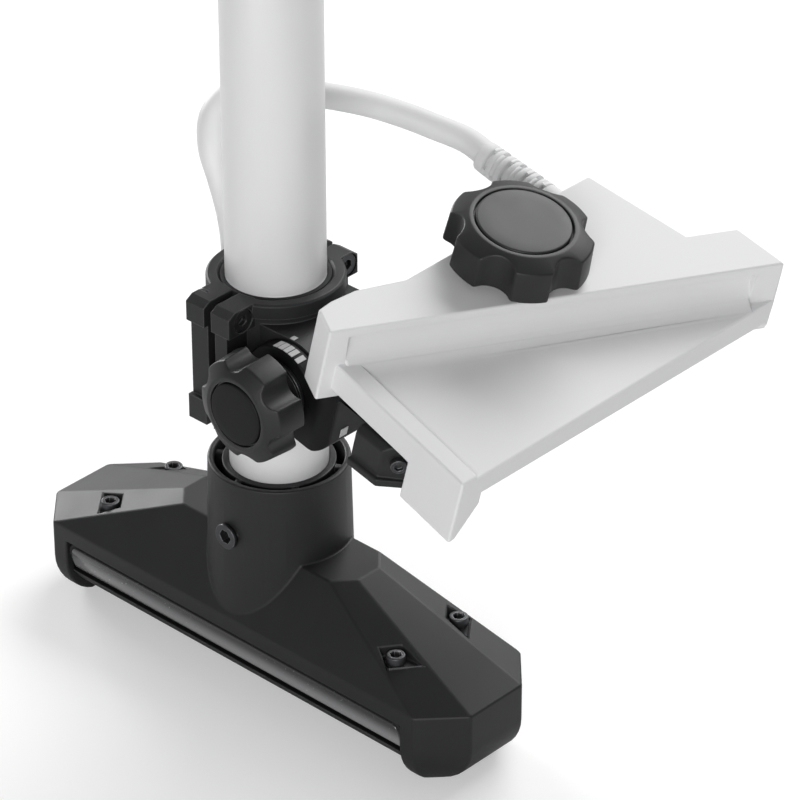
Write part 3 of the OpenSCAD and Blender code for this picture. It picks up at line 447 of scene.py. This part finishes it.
def material(name):
    """The named finish, built once."""
    if name not in MATERIALS:
        tones = bpy.context.scene.pod_finish
        MATERIALS[name] = {
            "black": lambda: moulded_black(tuple(tones.black)),
            # A darker copy of the moulding black: painted shade on the pod's base and the pole's
            # socket
            "base": lambda: moulded_black(shade(tones.black, 0.55), "base_black"),
            # A darker, duller copy of the moulding black: painted shade on the tilt arm and the
            # front knob's cap
            "shaded_copy": lambda: moulded_black(shade(tones.black, 0.45), "deep_black", 0.18),
            "knob": lambda: knob_nylon(tuple(tones.knob_black)),
            # A lighter copy of the knob nylon: a painted highlight on the upper knob's cap
            "knob_cap": lambda: knob_nylon(shade(tones.knob_black, 1.3), "cap_nylon"),
            "window": lambda: window_urethane(tuple(tones.window_black)),
            "rubber": seal_rubber,
            "pale": lambda: pale_plastic(tuple(tones.pale)),
            "pole": lambda: painted_pole(tuple(tones.pole_pale)),
            "lead": lambda: lead_sheath(tuple(tones.lead_pale)),
            "steel": oxide_steel,
            "mark": lambda: mark_paint(tuple(tones.mark_white)),
            "ceramic": lambda: inner_finish(
                "piezo_ceramic", (0.40, 0.25, 0.10), (0.52, 0.33, 0.14), 0.002, 0.5
            ),
            "backing": lambda: inner_finish(
                "filled_resin", (0.07, 0.07, 0.08), (0.13, 0.13, 0.14), 0.001, 0.6
            ),
            "board": lambda: inner_finish(
                "board_laminate", (0.02, 0.12, 0.05), (0.04, 0.19, 0.08), 0.003, 0.35
            ),
        }[name]()
    return MATERIALS[name]


def finished(mesh, name, finish):
    """An object at the origin that holds a mesh in one finish."""
    mesh.materials.clear()
    mesh.materials.append(material(finish))
    piece = bpy.data.objects.new(name, mesh)
    bpy.context.scene.collection.objects.link(piece)
    return piece


def plain_mesh(form, name):
    """The mesh of a form, which is used up."""
    mesh = bpy.data.meshes.new(name)
    form.to_mesh(mesh)
    form.free()
    return mesh


def to_mesh(form, name, sharp=40):
    """The mesh of a form, smooth but for the edges over an angle."""
    for face in form.faces:
        face.smooth = True
    mesh = plain_mesh(form, name)
    mesh.set_sharp_from_angle(angle=math.radians(sharp))
    return mesh


def skin(form, rings):
    """Faces that close a form of rings: the two ends, then the sides."""
    form.faces.new(rings[0][::-1])
    form.faces.new(rings[-1])
    for first, second in zip(rings, rings[1:]):
        for k, point in enumerate(first):
            after = (k + 1) % len(first)
            form.faces.new((point, first[after], second[after], second[k]))


def welded(form):
    """Joins the points of a form that lie on each other."""
    bmesh.ops.remove_doubles(form, verts=form.verts, dist=WELD)
    bmesh.ops.dissolve_degenerate(form, edges=form.edges, dist=WELD)


def rounded(mesh, radius, steps=2, angle=28, hollows=True):
    """A copy of a mesh with its flat faces joined and its edges rounded."""
    form = bmesh.new()
    form.from_mesh(mesh)
    welded(form)
    bmesh.ops.dissolve_limit(form, angle_limit=FLAT, verts=form.verts, edges=form.edges)
    sharp = [
        edge for edge in form.edges
        if edge.is_manifold and edge.calc_face_angle(0) > math.radians(angle)
        and (hollows or edge.is_convex)
    ]
    bmesh.ops.bevel(
        form, geom=sharp, offset=radius, offset_type="OFFSET", segments=steps, profile=0.5,
        affect="EDGES", clamp_overlap=False, miter_outer="SHARP", miter_inner="SHARP",
    )
    welded(form)
    form.normal_update()
    # Many-sided faces become triangles that all look the same way as the face
    for face in [face for face in form.faces if len(face.verts) > 4]:
        outward = face.normal.copy()
        parts = bmesh.ops.triangulate(form, faces=[face], ngon_method="EAR_CLIP")["faces"]
        for part in {face, *parts}:
            part.normal_update()
            if part.normal.dot(outward) < 0:
                part.normal_flip()
    result = to_mesh(form, mesh.name + "_rounded")
    result.validate()
    return result


def kept(piece, modifier):
    """Makes a modifier's result the piece's own mesh."""
    mesh = bpy.data.meshes.new_from_object(
        piece.evaluated_get(bpy.context.evaluated_depsgraph_get())
    )
    piece.modifiers.remove(modifier)
    piece.data = mesh
    return piece


def baked(piece, name, kind, **settings):
    """A piece with a modifier worked into its mesh."""
    modifier = piece.modifiers.new(name, kind)
    for key, value in settings.items():
        setattr(modifier, key, value)
    return kept(piece, modifier)


def flat_shaded(piece):
    """A piece whose large faces look flat beside their rounded edges."""
    return baked(piece, "flat_faces", "WEIGHTED_NORMAL", keep_sharp=True, weight=70)


def seated(piece, node):
    """Hands a piece to the body of the CAD node that it replaces."""
    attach(piece, BODY_OF[node])
    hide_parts(node)
    return piece


def dress(node, finish, radius, steps=2, angle=28, flat=True):
    """Replaces a CAD node by its rounded copy in a finish."""
    mesh = rounded(NODES[node].data, radius, steps, angle)
    piece = finished(mesh, node + "_finished", finish)
    if flat:
        flat_shaded(piece)
    return seated(piece, node)


def prism(plan, low, high, place=None):
    """A closed upright solid over a plan in millimetres."""
    form = bmesh.new()
    place = place or Matrix()
    skin(form, [
        [form.verts.new(place @ (Vector((x, y, z)) * MM)) for x, y in plan] for z in (low, high)
    ])
    bmesh.ops.recalc_face_normals(form, faces=form.faces)
    return plain_mesh(form, "prism")


def combine(first, second, operation):
    """Joins, cuts or overlaps two closed meshes."""
    base = bpy.data.objects.new("base", first)
    tool = bpy.data.objects.new("tool", second)
    for piece in (base, tool):
        bpy.context.scene.collection.objects.link(piece)
    baked(base, "combine", "BOOLEAN", operation=operation, solver="EXACT", object=tool)
    mesh = base.data
    bpy.data.objects.remove(base)
    bpy.data.objects.remove(tool)
    return mesh


def turned(rows, sides, place, name, sharp):
    """A closed form round an axis; a row is a radius and a height, or a rule for both at a turn."""
    form = bmesh.new()
    rings = []
    for row in rows:
        ring = []
        for k in range(sides):
            turn = 2 * math.pi * k / sides
            radius, height = row(turn) if callable(row) else row
            spot = Vector((radius * math.cos(turn), radius * math.sin(turn), height)) * MM
            ring.append(form.verts.new(place @ spot))
        rings.append(ring)
    skin(form, rings)
    bmesh.ops.recalc_face_normals(form, faces=form.faces)
    return to_mesh(form, name, sharp)


def bend(start, corner, end, steps=4):
    """Points of a rounded corner."""
    points = []
    for step in range(steps + 1):
        t = step / steps
        points.append(tuple(
            (1 - t) ** 2 * a + 2 * t * (1 - t) * b + t * t * c
            for a, b, c in zip(start, corner, end)
        ))
    return points


def paint(node, finish):
    """Gives a CAD node that keeps its shape a finish."""
    slots = NODES[node].data.materials
    slots.clear()
    slots.append(material(finish))


class SONAR_OT_stage(bpy.types.Operator):
    """Camera at the picture's angle, soft lights and a pale floor"""

    bl_idname = "sonar.stage"
    bl_label = "Stage"

    def execute(self, context):
        setup = context.scene.studio_setup
        scene = context.scene
        scene.view_settings.view_transform = "Standard"

        camera = bpy.data.objects.new("camera", bpy.data.cameras.new("camera"))
        scene.collection.objects.link(camera)
        camera.data.sensor_width = 36
        camera.data.lens = setup.lens
        camera.data.clip_start = 0.05
        camera.data.clip_end = 20
        camera.matrix_world = (
            Matrix.Translation(setup.camera_place)
            @ Matrix.Rotation(setup.camera_azimuth, 4, "Z")
            @ Matrix.Rotation(math.pi / 2 - setup.camera_drop, 4, "X")
            @ Matrix.Rotation(setup.camera_roll, 4, "Z")
        )
        scene.camera = camera

        self.make_floor(scene, setup)
        self.make_lights(scene)
        return {"FINISHED"}

    def make_floor(self, scene, setup):
        """A pale paper floor that looks white to the camera and keeps the shadows."""
        form = bmesh.new()
        bmesh.ops.create_grid(form, x_segments=8, y_segments=8, size=FLOOR_SIZE)
        mesh = plain_mesh(form, "studio_floor")
        floor = bpy.data.objects.new("studio_floor", mesh)
        scene.collection.objects.link(floor)

        finish = Finish("studio_floor")
        seen = finish.node("ShaderNodeLightPath", out="Is Camera Ray")
        colour = tuple(setup.floor_colour)
        tone = finish.mix(finish.noise(0.05), shade(colour, 0.995), colour)
        paper = finish.node("ShaderNodeBsdfDiffuse", {}, {"Color": tone})
        glow = finish.node("ShaderNodeEmission", {}, {"Color": (1, 1, 1), "Strength": FLOOR_GLOW})
        both = finish.node("ShaderNodeAddShader", {}, {0: paper, 1: glow})
        shown = finish.node("ShaderNodeMixShader", {}, {0: seen, 1: paper, 2: both})
        mesh.materials.append(finish.end(shown))

    def make_lights(self, scene):
        """Soft boxes that face the part, under a dim even sky."""
        world = bpy.data.worlds.new("studio")
        world.use_nodes = True
        sky = world.node_tree.nodes["Background"].inputs
        sky["Color"].default_value = (1, 1, 1, 1)
        sky["Strength"].default_value = WORLD_LIGHT
        scene.world = world
        for name, place, wide, high, power in SOFTBOXES:
            lamp = bpy.data.lights.new(name, "AREA")
            lamp.shape = "RECTANGLE"
            lamp.size = wide
            lamp.size_y = high
            lamp.energy = power
            light = bpy.data.objects.new(name, lamp)
            scene.collection.objects.link(light)
            turn = (LIGHT_AIM - Vector(place)).to_track_quat("-Z", "Y")
            light.matrix_world = Matrix.Translation(place) @ turn.to_matrix().to_4x4()


# Points of the lead's middle line in millimetres, from the strain relief into the pole
LEAD_ROUTE = [
    (16.4, 74.0, 153.37), (7.72, 74.0, 155.54), (-2.0, 71.0, 157.5), (-11.0, 66.0, 160.5),
    (-19.0, 59.0, 164.0), (-26.0, 50.0, 167.5), (-32.0, 40.0, 171.0), (-36.0, 30.0, 174.0),
    (-38.0, 20.0, 175.0), (-37.0, 11.5, 171.5), (-33.0, 7.0, 164.5), (-29.0, 6.5, 156.0),
    (-26.3, 7.0, 146.5), (-25.0, 7.4, 137.0), (-24.5, 7.4, 125.0), (-24.5, 7.4, 114.0),
    (-24.4, 7.4, 104.0), (-22.3, 6.8, 95.0), (-17.5, 5.3, 87.8), (-11.0, 3.3, 81.0),
    (-5.0, 1.5, 74.6),
]
LEAD_STEPS = 6


def smooth_route(points, steps):
    """Points on a curve through the given ones, steps to each span."""
    points = [Vector(p) * MM for p in points]
    ends = [2 * points[0] - points[1]] + points + [2 * points[-1] - points[-2]]
    route = []
    for a, b, c, d in zip(ends, ends[1:], ends[2:], ends[3:]):
        for step in range(steps):
            t = step / steps
            route.append(0.5 * (
                2 * b + (c - a) * t + (2 * a - 5 * b + 4 * c - d) * t ** 2
                + (3 * b - a - 3 * c + d) * t ** 3
            ))
    return route + [points[-1]]


def tube(route, radius, sides=24):
    """A closed tube along a route, with its rings carried along without twist."""
    form = bmesh.new()
    rings = []
    across = None
    for i, point in enumerate(route):
        along = (route[min(i + 1, len(route) - 1)] - route[max(i - 1, 0)]).normalized()
        if across is None:
            across = along.orthogonal().normalized()
        across = (across - along * across.dot(along)).normalized()
        other = along.cross(across)
        turns = [2 * math.pi * k / sides for k in range(sides)]
        rings.append([
            form.verts.new(point + radius * (math.cos(turn) * across + math.sin(turn) * other))
            for turn in turns
        ])
    skin(form, rings)
    for face in form.faces:
        face.smooth = len(face.verts) == 4
    return plain_mesh(form, "lead")


def node_group(name, inputs):
    """The graph of a new geometry tree, and its named inputs."""
    tree = bpy.data.node_groups.new(name, "GeometryNodeTree")
    tree.interface.new_socket("Geometry", in_out="INPUT", socket_type="NodeSocketGeometry")
    for label, kind in inputs:
        tree.interface.new_socket(label, in_out="INPUT", socket_type="NodeSocket" + kind)
    tree.interface.new_socket("Geometry", in_out="OUTPUT", socket_type="NodeSocketGeometry")
    source = tree.nodes.new("NodeGroupInput")
    labels = ["Geometry"] + [label for label, kind in inputs]
    return Graph(tree), {label: Val(tree, source.outputs[label]) for label in labels}


def end_tree(graph, geometry, given):
    """Ends a geometry tree: instances made real, in the given material."""
    real = graph.node("GeometryNodeRealizeInstances", {}, {"Geometry": geometry})
    coated = graph.node(
        "GeometryNodeSetMaterial", {}, {"Geometry": real, "Material": given["Material"]}
    )
    graph.node("NodeGroupOutput", {}, {"Geometry": coated})
    return graph.tree


def grown(piece, tree, values):
    """Runs a geometry tree on a piece and keeps the plain mesh that it makes."""
    modifier = piece.modifiers.new(tree.name, "NODES")
    modifier.node_group = tree
    for item in tree.interface.items_tree:
        if item.in_out == "INPUT" and item.name in values:
            modifier[item.identifier] = values[item.name]
    return kept(piece, modifier)


def bridge_row():
    """A tree that sets pairs of bridges along a sleeve, each pair a quarter turn from the last."""
    graph, given = node_group("bridge_row", [
        ("Bridges", "Int"), ("First", "Float"), ("Pitch", "Float"), ("Radius", "Float"),
        ("Taper", "Float"), ("Depth", "Float"), ("Length", "Float"), ("Start", "Float"),
        ("Sweep", "Float"), ("Material", "Material"),
    ])
    index = graph.node("GeometryNodeInputIndex")
    pair = graph.node("ShaderNodeMath", {"operation": "FLOOR"}, {0: index * 0.5})
    side = index - 2 * pair
    odd = graph.node("ShaderNodeMath", {"operation": "MODULO"}, {0: pair, 1: 2.0})
    along = given["First"] + pair * given["Pitch"]
    points = graph.node(
        "GeometryNodeMeshLine", {"mode": "OFFSET"}, {"Count": given["Bridges"], "Offset": (0, 0, 0)}
    )
    points = graph.node(
        "GeometryNodeSetPosition", {},
        {"Geometry": points, "Position": graph.node("ShaderNodeCombineXYZ", {}, {"Z": along})},
    )
    arc = graph.node(
        "GeometryNodeCurveArc", {"mode": "RADIUS"},
        {"Resolution": 20, "Radius": given["Radius"], "Sweep Angle": given["Sweep"]},
    )
    block = graph.node(
        "GeometryNodeCurvePrimitiveQuadrilateral", {"mode": "RECTANGLE"},
        {"Width": given["Depth"], "Height": given["Length"]},
    )
    bridge = graph.node(
        "GeometryNodeCurveToMesh", {}, {"Curve": arc, "Profile Curve": block, "Fill Caps": True}
    )
    girth = 1 - along * given["Taper"]
    set_out = graph.node("GeometryNodeInstanceOnPoints", {}, {
        "Points": points, "Instance": bridge,
        "Rotation": graph.node(
            "ShaderNodeCombineXYZ", {}, {"Z": given["Start"] + side * math.pi + odd * (math.pi / 2)}
        ),
        "Scale": graph.node("ShaderNodeCombineXYZ", {}, {"X": girth, "Y": girth, "Z": 1.0}),
    })
    join = graph.tree.nodes.new("GeometryNodeJoinGeometry")
    for part in (set_out, given["Geometry"]):
        graph.tree.links.new(part.socket, join.inputs[0])
    return end_tree(graph, Val(graph.tree, join.outputs[0]), given)


def copies_on_points():
    """A tree that stands a copy of an object on each point of a mesh."""
    graph, given = node_group("copies_on_points", [("Copy", "Object"), ("Material", "Material")])
    copy = graph.node("GeometryNodeObjectInfo", {}, {"Object": given["Copy"]}, out="Geometry")
    set_out = graph.node(
        "GeometryNodeInstanceOnPoints", {}, {"Points": given["Geometry"], "Instance": copy}
    )
    return end_tree(graph, set_out, given)


def strain_relief():
    """The lead's sleeve: rings along a tapering core, held apart by bridges in staggered pairs."""
    length, wide, taper = 31.0, 5.6, 0.7
    slots, first, pitch, depth = 7, 6.2, 3.3, 1.5
    outer = lambda z: wide - taper * z / length
    rows = [(0.5, -5.0), (4.6, -5.0), (4.6, -0.2), (outer(0) - 0.3, 0.0), (outer(0.3), 0.3)]
    for slot in range(slots):
        low = first + slot * pitch
        edge = outer(low)
        rows += [
            (edge - 0.15, low - 0.05), (edge - depth, low + 0.1), (edge - depth, low + 1.2),
            (edge - 0.15, low + 1.35), (edge, low + 1.55), (outer(low + 3), low + pitch - 0.25),
        ]
    rows += bend((outer(length - 0.8), length - 0.8), (outer(length), length), (4.2, length))
    rows.append((0.5, length))
    sleeve = finished(turned(rows, 48, Matrix(), "strain_relief", 50), "strain_relief", "lead")
    grown(sleeve, bridge_row(), {
        "Bridges": 2 * slots, "First": (first + 0.65) * MM, "Pitch": pitch * MM,
        "Radius": (wide - depth / 2) * MM, "Taper": taper / wide / (length * MM),
        "Depth": depth * MM, "Length": 1.5 * MM,
        "Start": math.radians(-6), "Sweep": math.radians(95), "Material": material("lead"),
    })
    seat = BRACKET @ Matrix.Translation((0.0143, 0.074, 0.0327))
    sleeve.data.transform(seat @ Matrix.Rotation(-math.pi / 2, 4, "Y"))
    return seated(sleeve, "cable_gland")


class SONAR_OT_lead(bpy.types.Operator):
    """The lead from the wedge's strain relief into the pole"""

    bl_idname = "sonar.lead"
    bl_label = "Lead"

    def execute(self, context):
        diameter = context.scene.pod_finish.lead_diameter
        route = smooth_route(LEAD_ROUTE, LEAD_STEPS)
        length = sum((b - a).length for a, b in zip(route, route[1:]))
        lead = finished(tube(route, diameter / 2), "lead_sheath", "lead")
        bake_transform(lead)
        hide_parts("lead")
        strain_relief()
        dress("lead_grommet", "rubber", 0.0003, flat=False)
        return {"FINISHED"}


class SONAR_OT_pod(bpy.types.Operator):
    """The winged pod: housing, base, windows and seals"""

    bl_idname = "sonar.pod"
    bl_label = "Pod"

    def execute(self, context):
        dress("pod_housing", "black", context.scene.pod_finish.edge_radius, 3, 18)
        # The base in the darker copy of the moulding black: painted shade
        dress("pod_base", "base", 0.0002)
        dress("pod_windows", "window", 0.0004, flat=False)
        dress("window_seals", "rubber", 0.0002)
        return {"FINISHED"}


class SONAR_OT_pole(bpy.types.Operator):
    """The pole, its socket and the clamp's liner"""

    bl_idname = "sonar.pole"
    bl_label = "Pole"

    def execute(self, context):
        dress("pole", "pole", 0.0002, flat=False)
        # The socket takes the darker copy of the moulding black, painted shade
        dress("pole_socket", "base", 0.0003)
        dress("clamp_liner", "rubber", 0.0002, flat=False)
        return {"FINISHED"}


class SONAR_OT_clamp(bpy.types.Operator):
    """The two halves of the clamp collar"""

    bl_idname = "sonar.clamp"
    bl_label = "Clamp"

    def execute(self, context):
        dress("clamp_front", "black", 0.00015)
        dress("clamp_rear", "black", 0.00015)
        return {"FINISHED"}


class SONAR_OT_bracket(bpy.types.Operator):
    """The tilting bracket, its lock and its painted scale"""

    bl_idname = "sonar.bracket"
    bl_label = "Bracket"

    def execute(self, context):
        # The arm in the darker copy of the moulding black: painted shade, for the wedge's shadow on
        # it
        dress("tilt_arm", "shaded_copy", 0.0006)
        dress("lock_block", "black", 0.0006)
        dress("tilt_scale", "mark", 0.00006)
        dress("tilt_pointer", "mark", 0.00006)
        return {"FINISHED"}


def lobe_outline(radius, limit, turn):
    """A rule for a lobed outline: its radius at an angle, with softened corners."""
    notch = 0.3 * radius
    far = 1.135 * radius

    def bare(angle):
        off = (angle - turn) % (2 * math.pi / LOBES) - math.pi / LOBES
        aside = far * math.sin(off)
        if abs(aside) >= notch:
            return limit
        return min(limit, far * math.cos(off) - math.sqrt(notch ** 2 - aside ** 2))

    def outline(angle):
        spread = ((-2, 1), (-1, 4), (0, 6), (1, 4), (2, 1))
        return sum(weight * bare(angle + math.radians(0.8 * step)) for step, weight in spread) / 16

    return outline


def lobed_knob(radius, cap_radius, neck_radius, neck, lobe, turn, place, name):
    """A hand knob: lobes with a cone over them, a sunk seat for the cap and a neck."""
    soft, foot, sink = 0.55, 0.8, 1.6
    top = neck + lobe + KNOB_CONE
    flat = cap_radius + 1.8
    upper = lobe_outline(radius, radius, turn)
    lower = lobe_outline(radius, radius + 0.5, turn)

    def crown(reach):
        return top - KNOB_CONE * max(0.0, reach - flat) / (radius - flat)

    def shoulder(step):
        def row(angle):
            edge = upper(angle)
            return bend(
                (edge - soft, crown(edge - soft)), (edge, crown(edge)), (edge, crown(edge) - soft)
            )[step]
        return row

    def skirt(step):
        def row(angle):
            edge = lower(angle)
            return bend((edge, neck + foot), (edge, neck), (edge - foot, neck))[step]
        return row

    seat = cap_radius + 0.45
    rows = [(0.5, top - sink), (seat, top - sink)]
    rows += bend((seat, top - 0.4), (seat, top), (seat + 0.4, top))
    rows += bend((flat - 0.3, top), (flat, top), (flat + 0.3, crown(flat + 0.3)), 2)
    rows += [shoulder(step) for step in range(5)] + [skirt(step) for step in range(5)]
    rows += [(neck_radius, neck), (neck_radius, 0.0), (0.5, 0.0)]
    return turned(rows, 432, place, name, 50)


def knob_cap(radius, top, place, name):
    """The disc in a knob's top, barely domed, with a rounded rim."""
    rows = [(0.3, top + 0.3), (0.35 * radius, top + 0.29), (0.7 * radius, top + 0.25)]
    rows += bend((radius - 0.7, top + 0.18), (radius, top + 0.16), (radius, top - 0.5))
    rows += [(radius, top - 1.5), (0.3, top - 1.5)]
    return turned(rows, 160, place, name, 50)


class SONAR_OT_knobs(bpy.types.Operator):
    """The two lobed hand knobs with their caps"""

    bl_idname = "sonar.knobs"
    bl_label = "Knobs"

    def execute(self, context):
        front = BRACKET @ Matrix.Translation((0, -0.0238, 0))
        front = front @ Matrix.Rotation(math.pi / 2, 4, "X")
        upper = BRACKET @ Matrix.Translation((0.0284, 0.0367, 0.0434))
        # Radii of the lobes, the cap and the neck, heights of the neck and the lobes, turn
        for name, radius, cap, neck_radius, neck, lobe, turn, place, tone in (
            # The caps' finishes: painted shade on the front knob's cap, a painted highlight on the
            # upper knob's cap
            ("tilt_knob", 16.0, 9.7, 9.5, 4.8, 9.6, math.radians(22), front, "shaded_copy"),
            ("wedge_knob", 21.2, 14.2, 12.0, 0.2, 10.4, math.radians(23), upper, "knob_cap"),
        ):
            body = lobed_knob(radius, cap, neck_radius, neck, lobe, turn, place, name)
            seated(finished(body, name + "_finished", "knob"), name)
            disc = knob_cap(cap, neck + lobe + KNOB_CONE, place, name + "_cap")
            seated(finished(disc, name + "_cap_finished", tone), name + "_cap")
        return {"FINISHED"}


def wedge_form():
    """The wedge in its own frame: a thick plate, a sunken floor in front of it and a keel."""
    low, top, rim, floor = 15.5, 41.3, 28.3, 27.1
    cove_radius = 8
    corner = Vector((56.0, 135.8))
    wall = Matrix.Rotation(math.atan2(corner.y, corner.x), 4, "Z")
    end = Matrix.Translation((0, 0.0042, 0)) @ Matrix.Rotation(math.radians(-6.2), 4, "Z")
    # Solids along X and along Y: their plans lie in YZ and in ZX
    along_x = Matrix(((0, 0, 1, 0), (1, 0, 0, 0), (0, 1, 0, 0), (0, 0, 0, 1)))
    along_y = Matrix(((0, 1, 0, 0), (0, 0, 1, 0), (1, 0, 0, 0), (0, 0, 0, 1)))

    body = prism([
        (0, 0), corner, (37, 135.8), (30.4, 120), (-5.4, 115.8), (-5.4, 92), (-3.8, 35.2),
        (-9, 19.4), (-9.6, 10.2), (-9, 4.4),
    ], 0, top)
    bore = [
        (8.7 + 4.08 * math.cos(turn), 67.8 + 4.08 * math.sin(turn))
        for turn in (math.pi * k / 24 for k in range(48))
    ]
    body = combine(body, prism(bore, -5, top + 5), "DIFFERENCE")
    shelf = [(-3, 6), corner * 0.0296, (75, -3.95), (75, 135.8), (50, 135.8)]
    body = combine(body, prism(shelf, -1, rim), "UNION")
    sunken = [corner * 0.075, (66, 3.47), (66, 145), corner * 1.07]
    body = combine(body, prism(sunken, floor, rim + 5), "DIFFERENCE")
    groove = [(7, -1), (137.9, -1), (137.9, 2.2), (7, 2.2)]
    body = combine(body, prism(groove, floor, top - 3.4, wall), "DIFFERENCE")
    cove = [(3.2, floor - 1), (-5.8, floor - 1)] + [
        (-5.8 + cove_radius * math.sin(turn), floor + cove_radius * (1 - math.cos(turn)))
        for turn in (math.pi / 2 * step / 12 for step in range(13))
    ] + [(3.2, floor + cove_radius)]
    body = combine(body, prism(cove, 6.98, 137.92, wall @ along_x), "UNION")

    ahead = [(0, 0), (0, -9), (64, -9), (64, 144), corner * 1.06]
    under = prism(
        [(10, -1), (10, 66), (28.3, 66), (16.2, 53.9), (18.8, 34), (18.8, -1)], -8, 143, along_y
    )
    under = combine(under, prism(ahead, 5, top), "INTERSECT")
    under = combine(under, prism([(-20, -12), (70, -12), (70, 150), (-20, 150)], -5, low), "UNION")
    keel = [(-14, 40), (10.4, 40), (10.4, low), (2.6, 5.6), (-14, 5.6)]
    keel = prism(keel, 35.8, 90, end @ along_x)
    body = combine(body, combine(under, keel, "DIFFERENCE"), "DIFFERENCE")
    front = [(57.695, -20), (90, -20), (90, 160), (55.737, 160)]
    return combine(body, prism(front, -10, 30), "DIFFERENCE")


class SONAR_OT_wedge(bpy.types.Operator):
    """The pale forward wedge"""

    bl_idname = "sonar.wedge"
    bl_label = "Wedge"

    def execute(self, context):
        mesh = rounded(wedge_form(), 0.0008, 3, hollows=False)
        mesh.transform(BRACKET @ Matrix.Translation((0.0197, -0.0311, 0)))
        wedge = finished(mesh, "wedge_body_finished", "pale")
        seated(flat_shaded(wedge), "wedge_body")
        return {"FINISHED"}


class SONAR_OT_fasteners(bpy.types.Operator):
    """Screws, bolts, nuts and washers"""

    bl_idname = "sonar.fasteners"
    bl_label = "Fasteners"

    def execute(self, context):
        self.set_pod_screws(context)
        for node in (
            "set_screw", "clamp_bolts", "clamp_nuts", "tilt_bolt", "tilt_washer",
            "tilt_nut", "lock_screw", "wedge_bolt", "wedge_nut",
        ):
            dress(node, "steel", 0.0002)
        dress("wedge_washer", "rubber", 0.0002)
        return {"FINISHED"}

    def set_pod_screws(self, context):
        """Four cap screws in the pod's sunk seats."""
        head, shank, top, tip = 2.9, 1.5, 3.0, -8.0
        key = lambda turn: 1.5 / math.cos((turn + math.pi / 6) % (math.pi / 3) - math.pi / 6)
        rows = [(0.3, 1.2), lambda turn: (key(turn) - 0.05, 1.2), lambda turn: (key(turn), 2.75)]
        rows += [lambda turn: (key(turn) + 0.2, top), (2.3, top)]
        rows += bend((head - 0.5, top), (head, top), (head, top - 0.5))
        rows += [(head, 0.0), (shank, 0.0), (shank, tip), (0.3, tip)]
        screw = bpy.data.objects.new("screw", turned(rows, 48, Matrix(), "screw", 35))
        context.scene.collection.objects.link(screw)
        form = bmesh.new()
        for x in (-60.8, 60.8):
            for y in (-13.7, 13.7):
                form.verts.new(Vector((x, y, 35.0)) * MM)
        screws = finished(plain_mesh(form, "pod_screws"), "pod_screws_finished", "steel")
        grown(screws, copies_on_points(), {"Copy": screw, "Material": material("steel")})
        bpy.data.objects.remove(screw)
        seated(screws, "pod_screws")


class SONAR_OT_inside(bpy.types.Operator):
    """Finishes of the sealed parts inside the pod and the wedge"""

    bl_idname = "sonar.inside"
    bl_label = "Inside"

    def execute(self, context):
        for node, finish in (
            ("pod_piezo_bars", "ceramic"), ("wedge_array_long", "ceramic"),
            ("wedge_array_side", "ceramic"), ("pod_backing", "backing"),
            ("pod_circuit_board", "board"),
        ):
            paint(node, finish)
        return {"FINISHED"}


class SONAR_PT_panel(bpy.types.Panel):
    """Lists the makers of the transducer's pieces"""

    bl_idname = "SONAR_PT_panel"
    bl_label = "Sonar transducer"
    bl_space_type = "VIEW_3D"
    bl_region_type = "UI"
    bl_category = "Sonar"

    def draw(self, context):
        for maker in MAKERS:
            self.layout.operator(maker.bl_idname)


MAKERS = (
    SONAR_OT_stage, SONAR_OT_lead, SONAR_OT_pod, SONAR_OT_pole, SONAR_OT_clamp, SONAR_OT_bracket,
    SONAR_OT_knobs, SONAR_OT_wedge, SONAR_OT_fasteners, SONAR_OT_inside,
)
CLASSES = (PodFinish, StudioSetup) + MAKERS + (SONAR_PT_panel,)


def register():
    """Adds the classes and the two groups of values."""
    for item in CLASSES:
        bpy.utils.register_class(item)
    bpy.types.Scene.pod_finish = bpy.props.PointerProperty(type=PodFinish)
    bpy.types.Scene.studio_setup = bpy.props.PointerProperty(type=StudioSetup)


def unregister():
    """Takes them away again."""
    del bpy.types.Scene.studio_setup
    del bpy.types.Scene.pod_finish
    for item in reversed(CLASSES):
        bpy.utils.unregister_class(item)


def main():
    """Makes every piece in order."""
    register()
    for maker in MAKERS:
        group, name = maker.bl_idname.split(".")
        getattr(getattr(bpy.ops, group), name)()


if __name__ == "__main__":
    main()
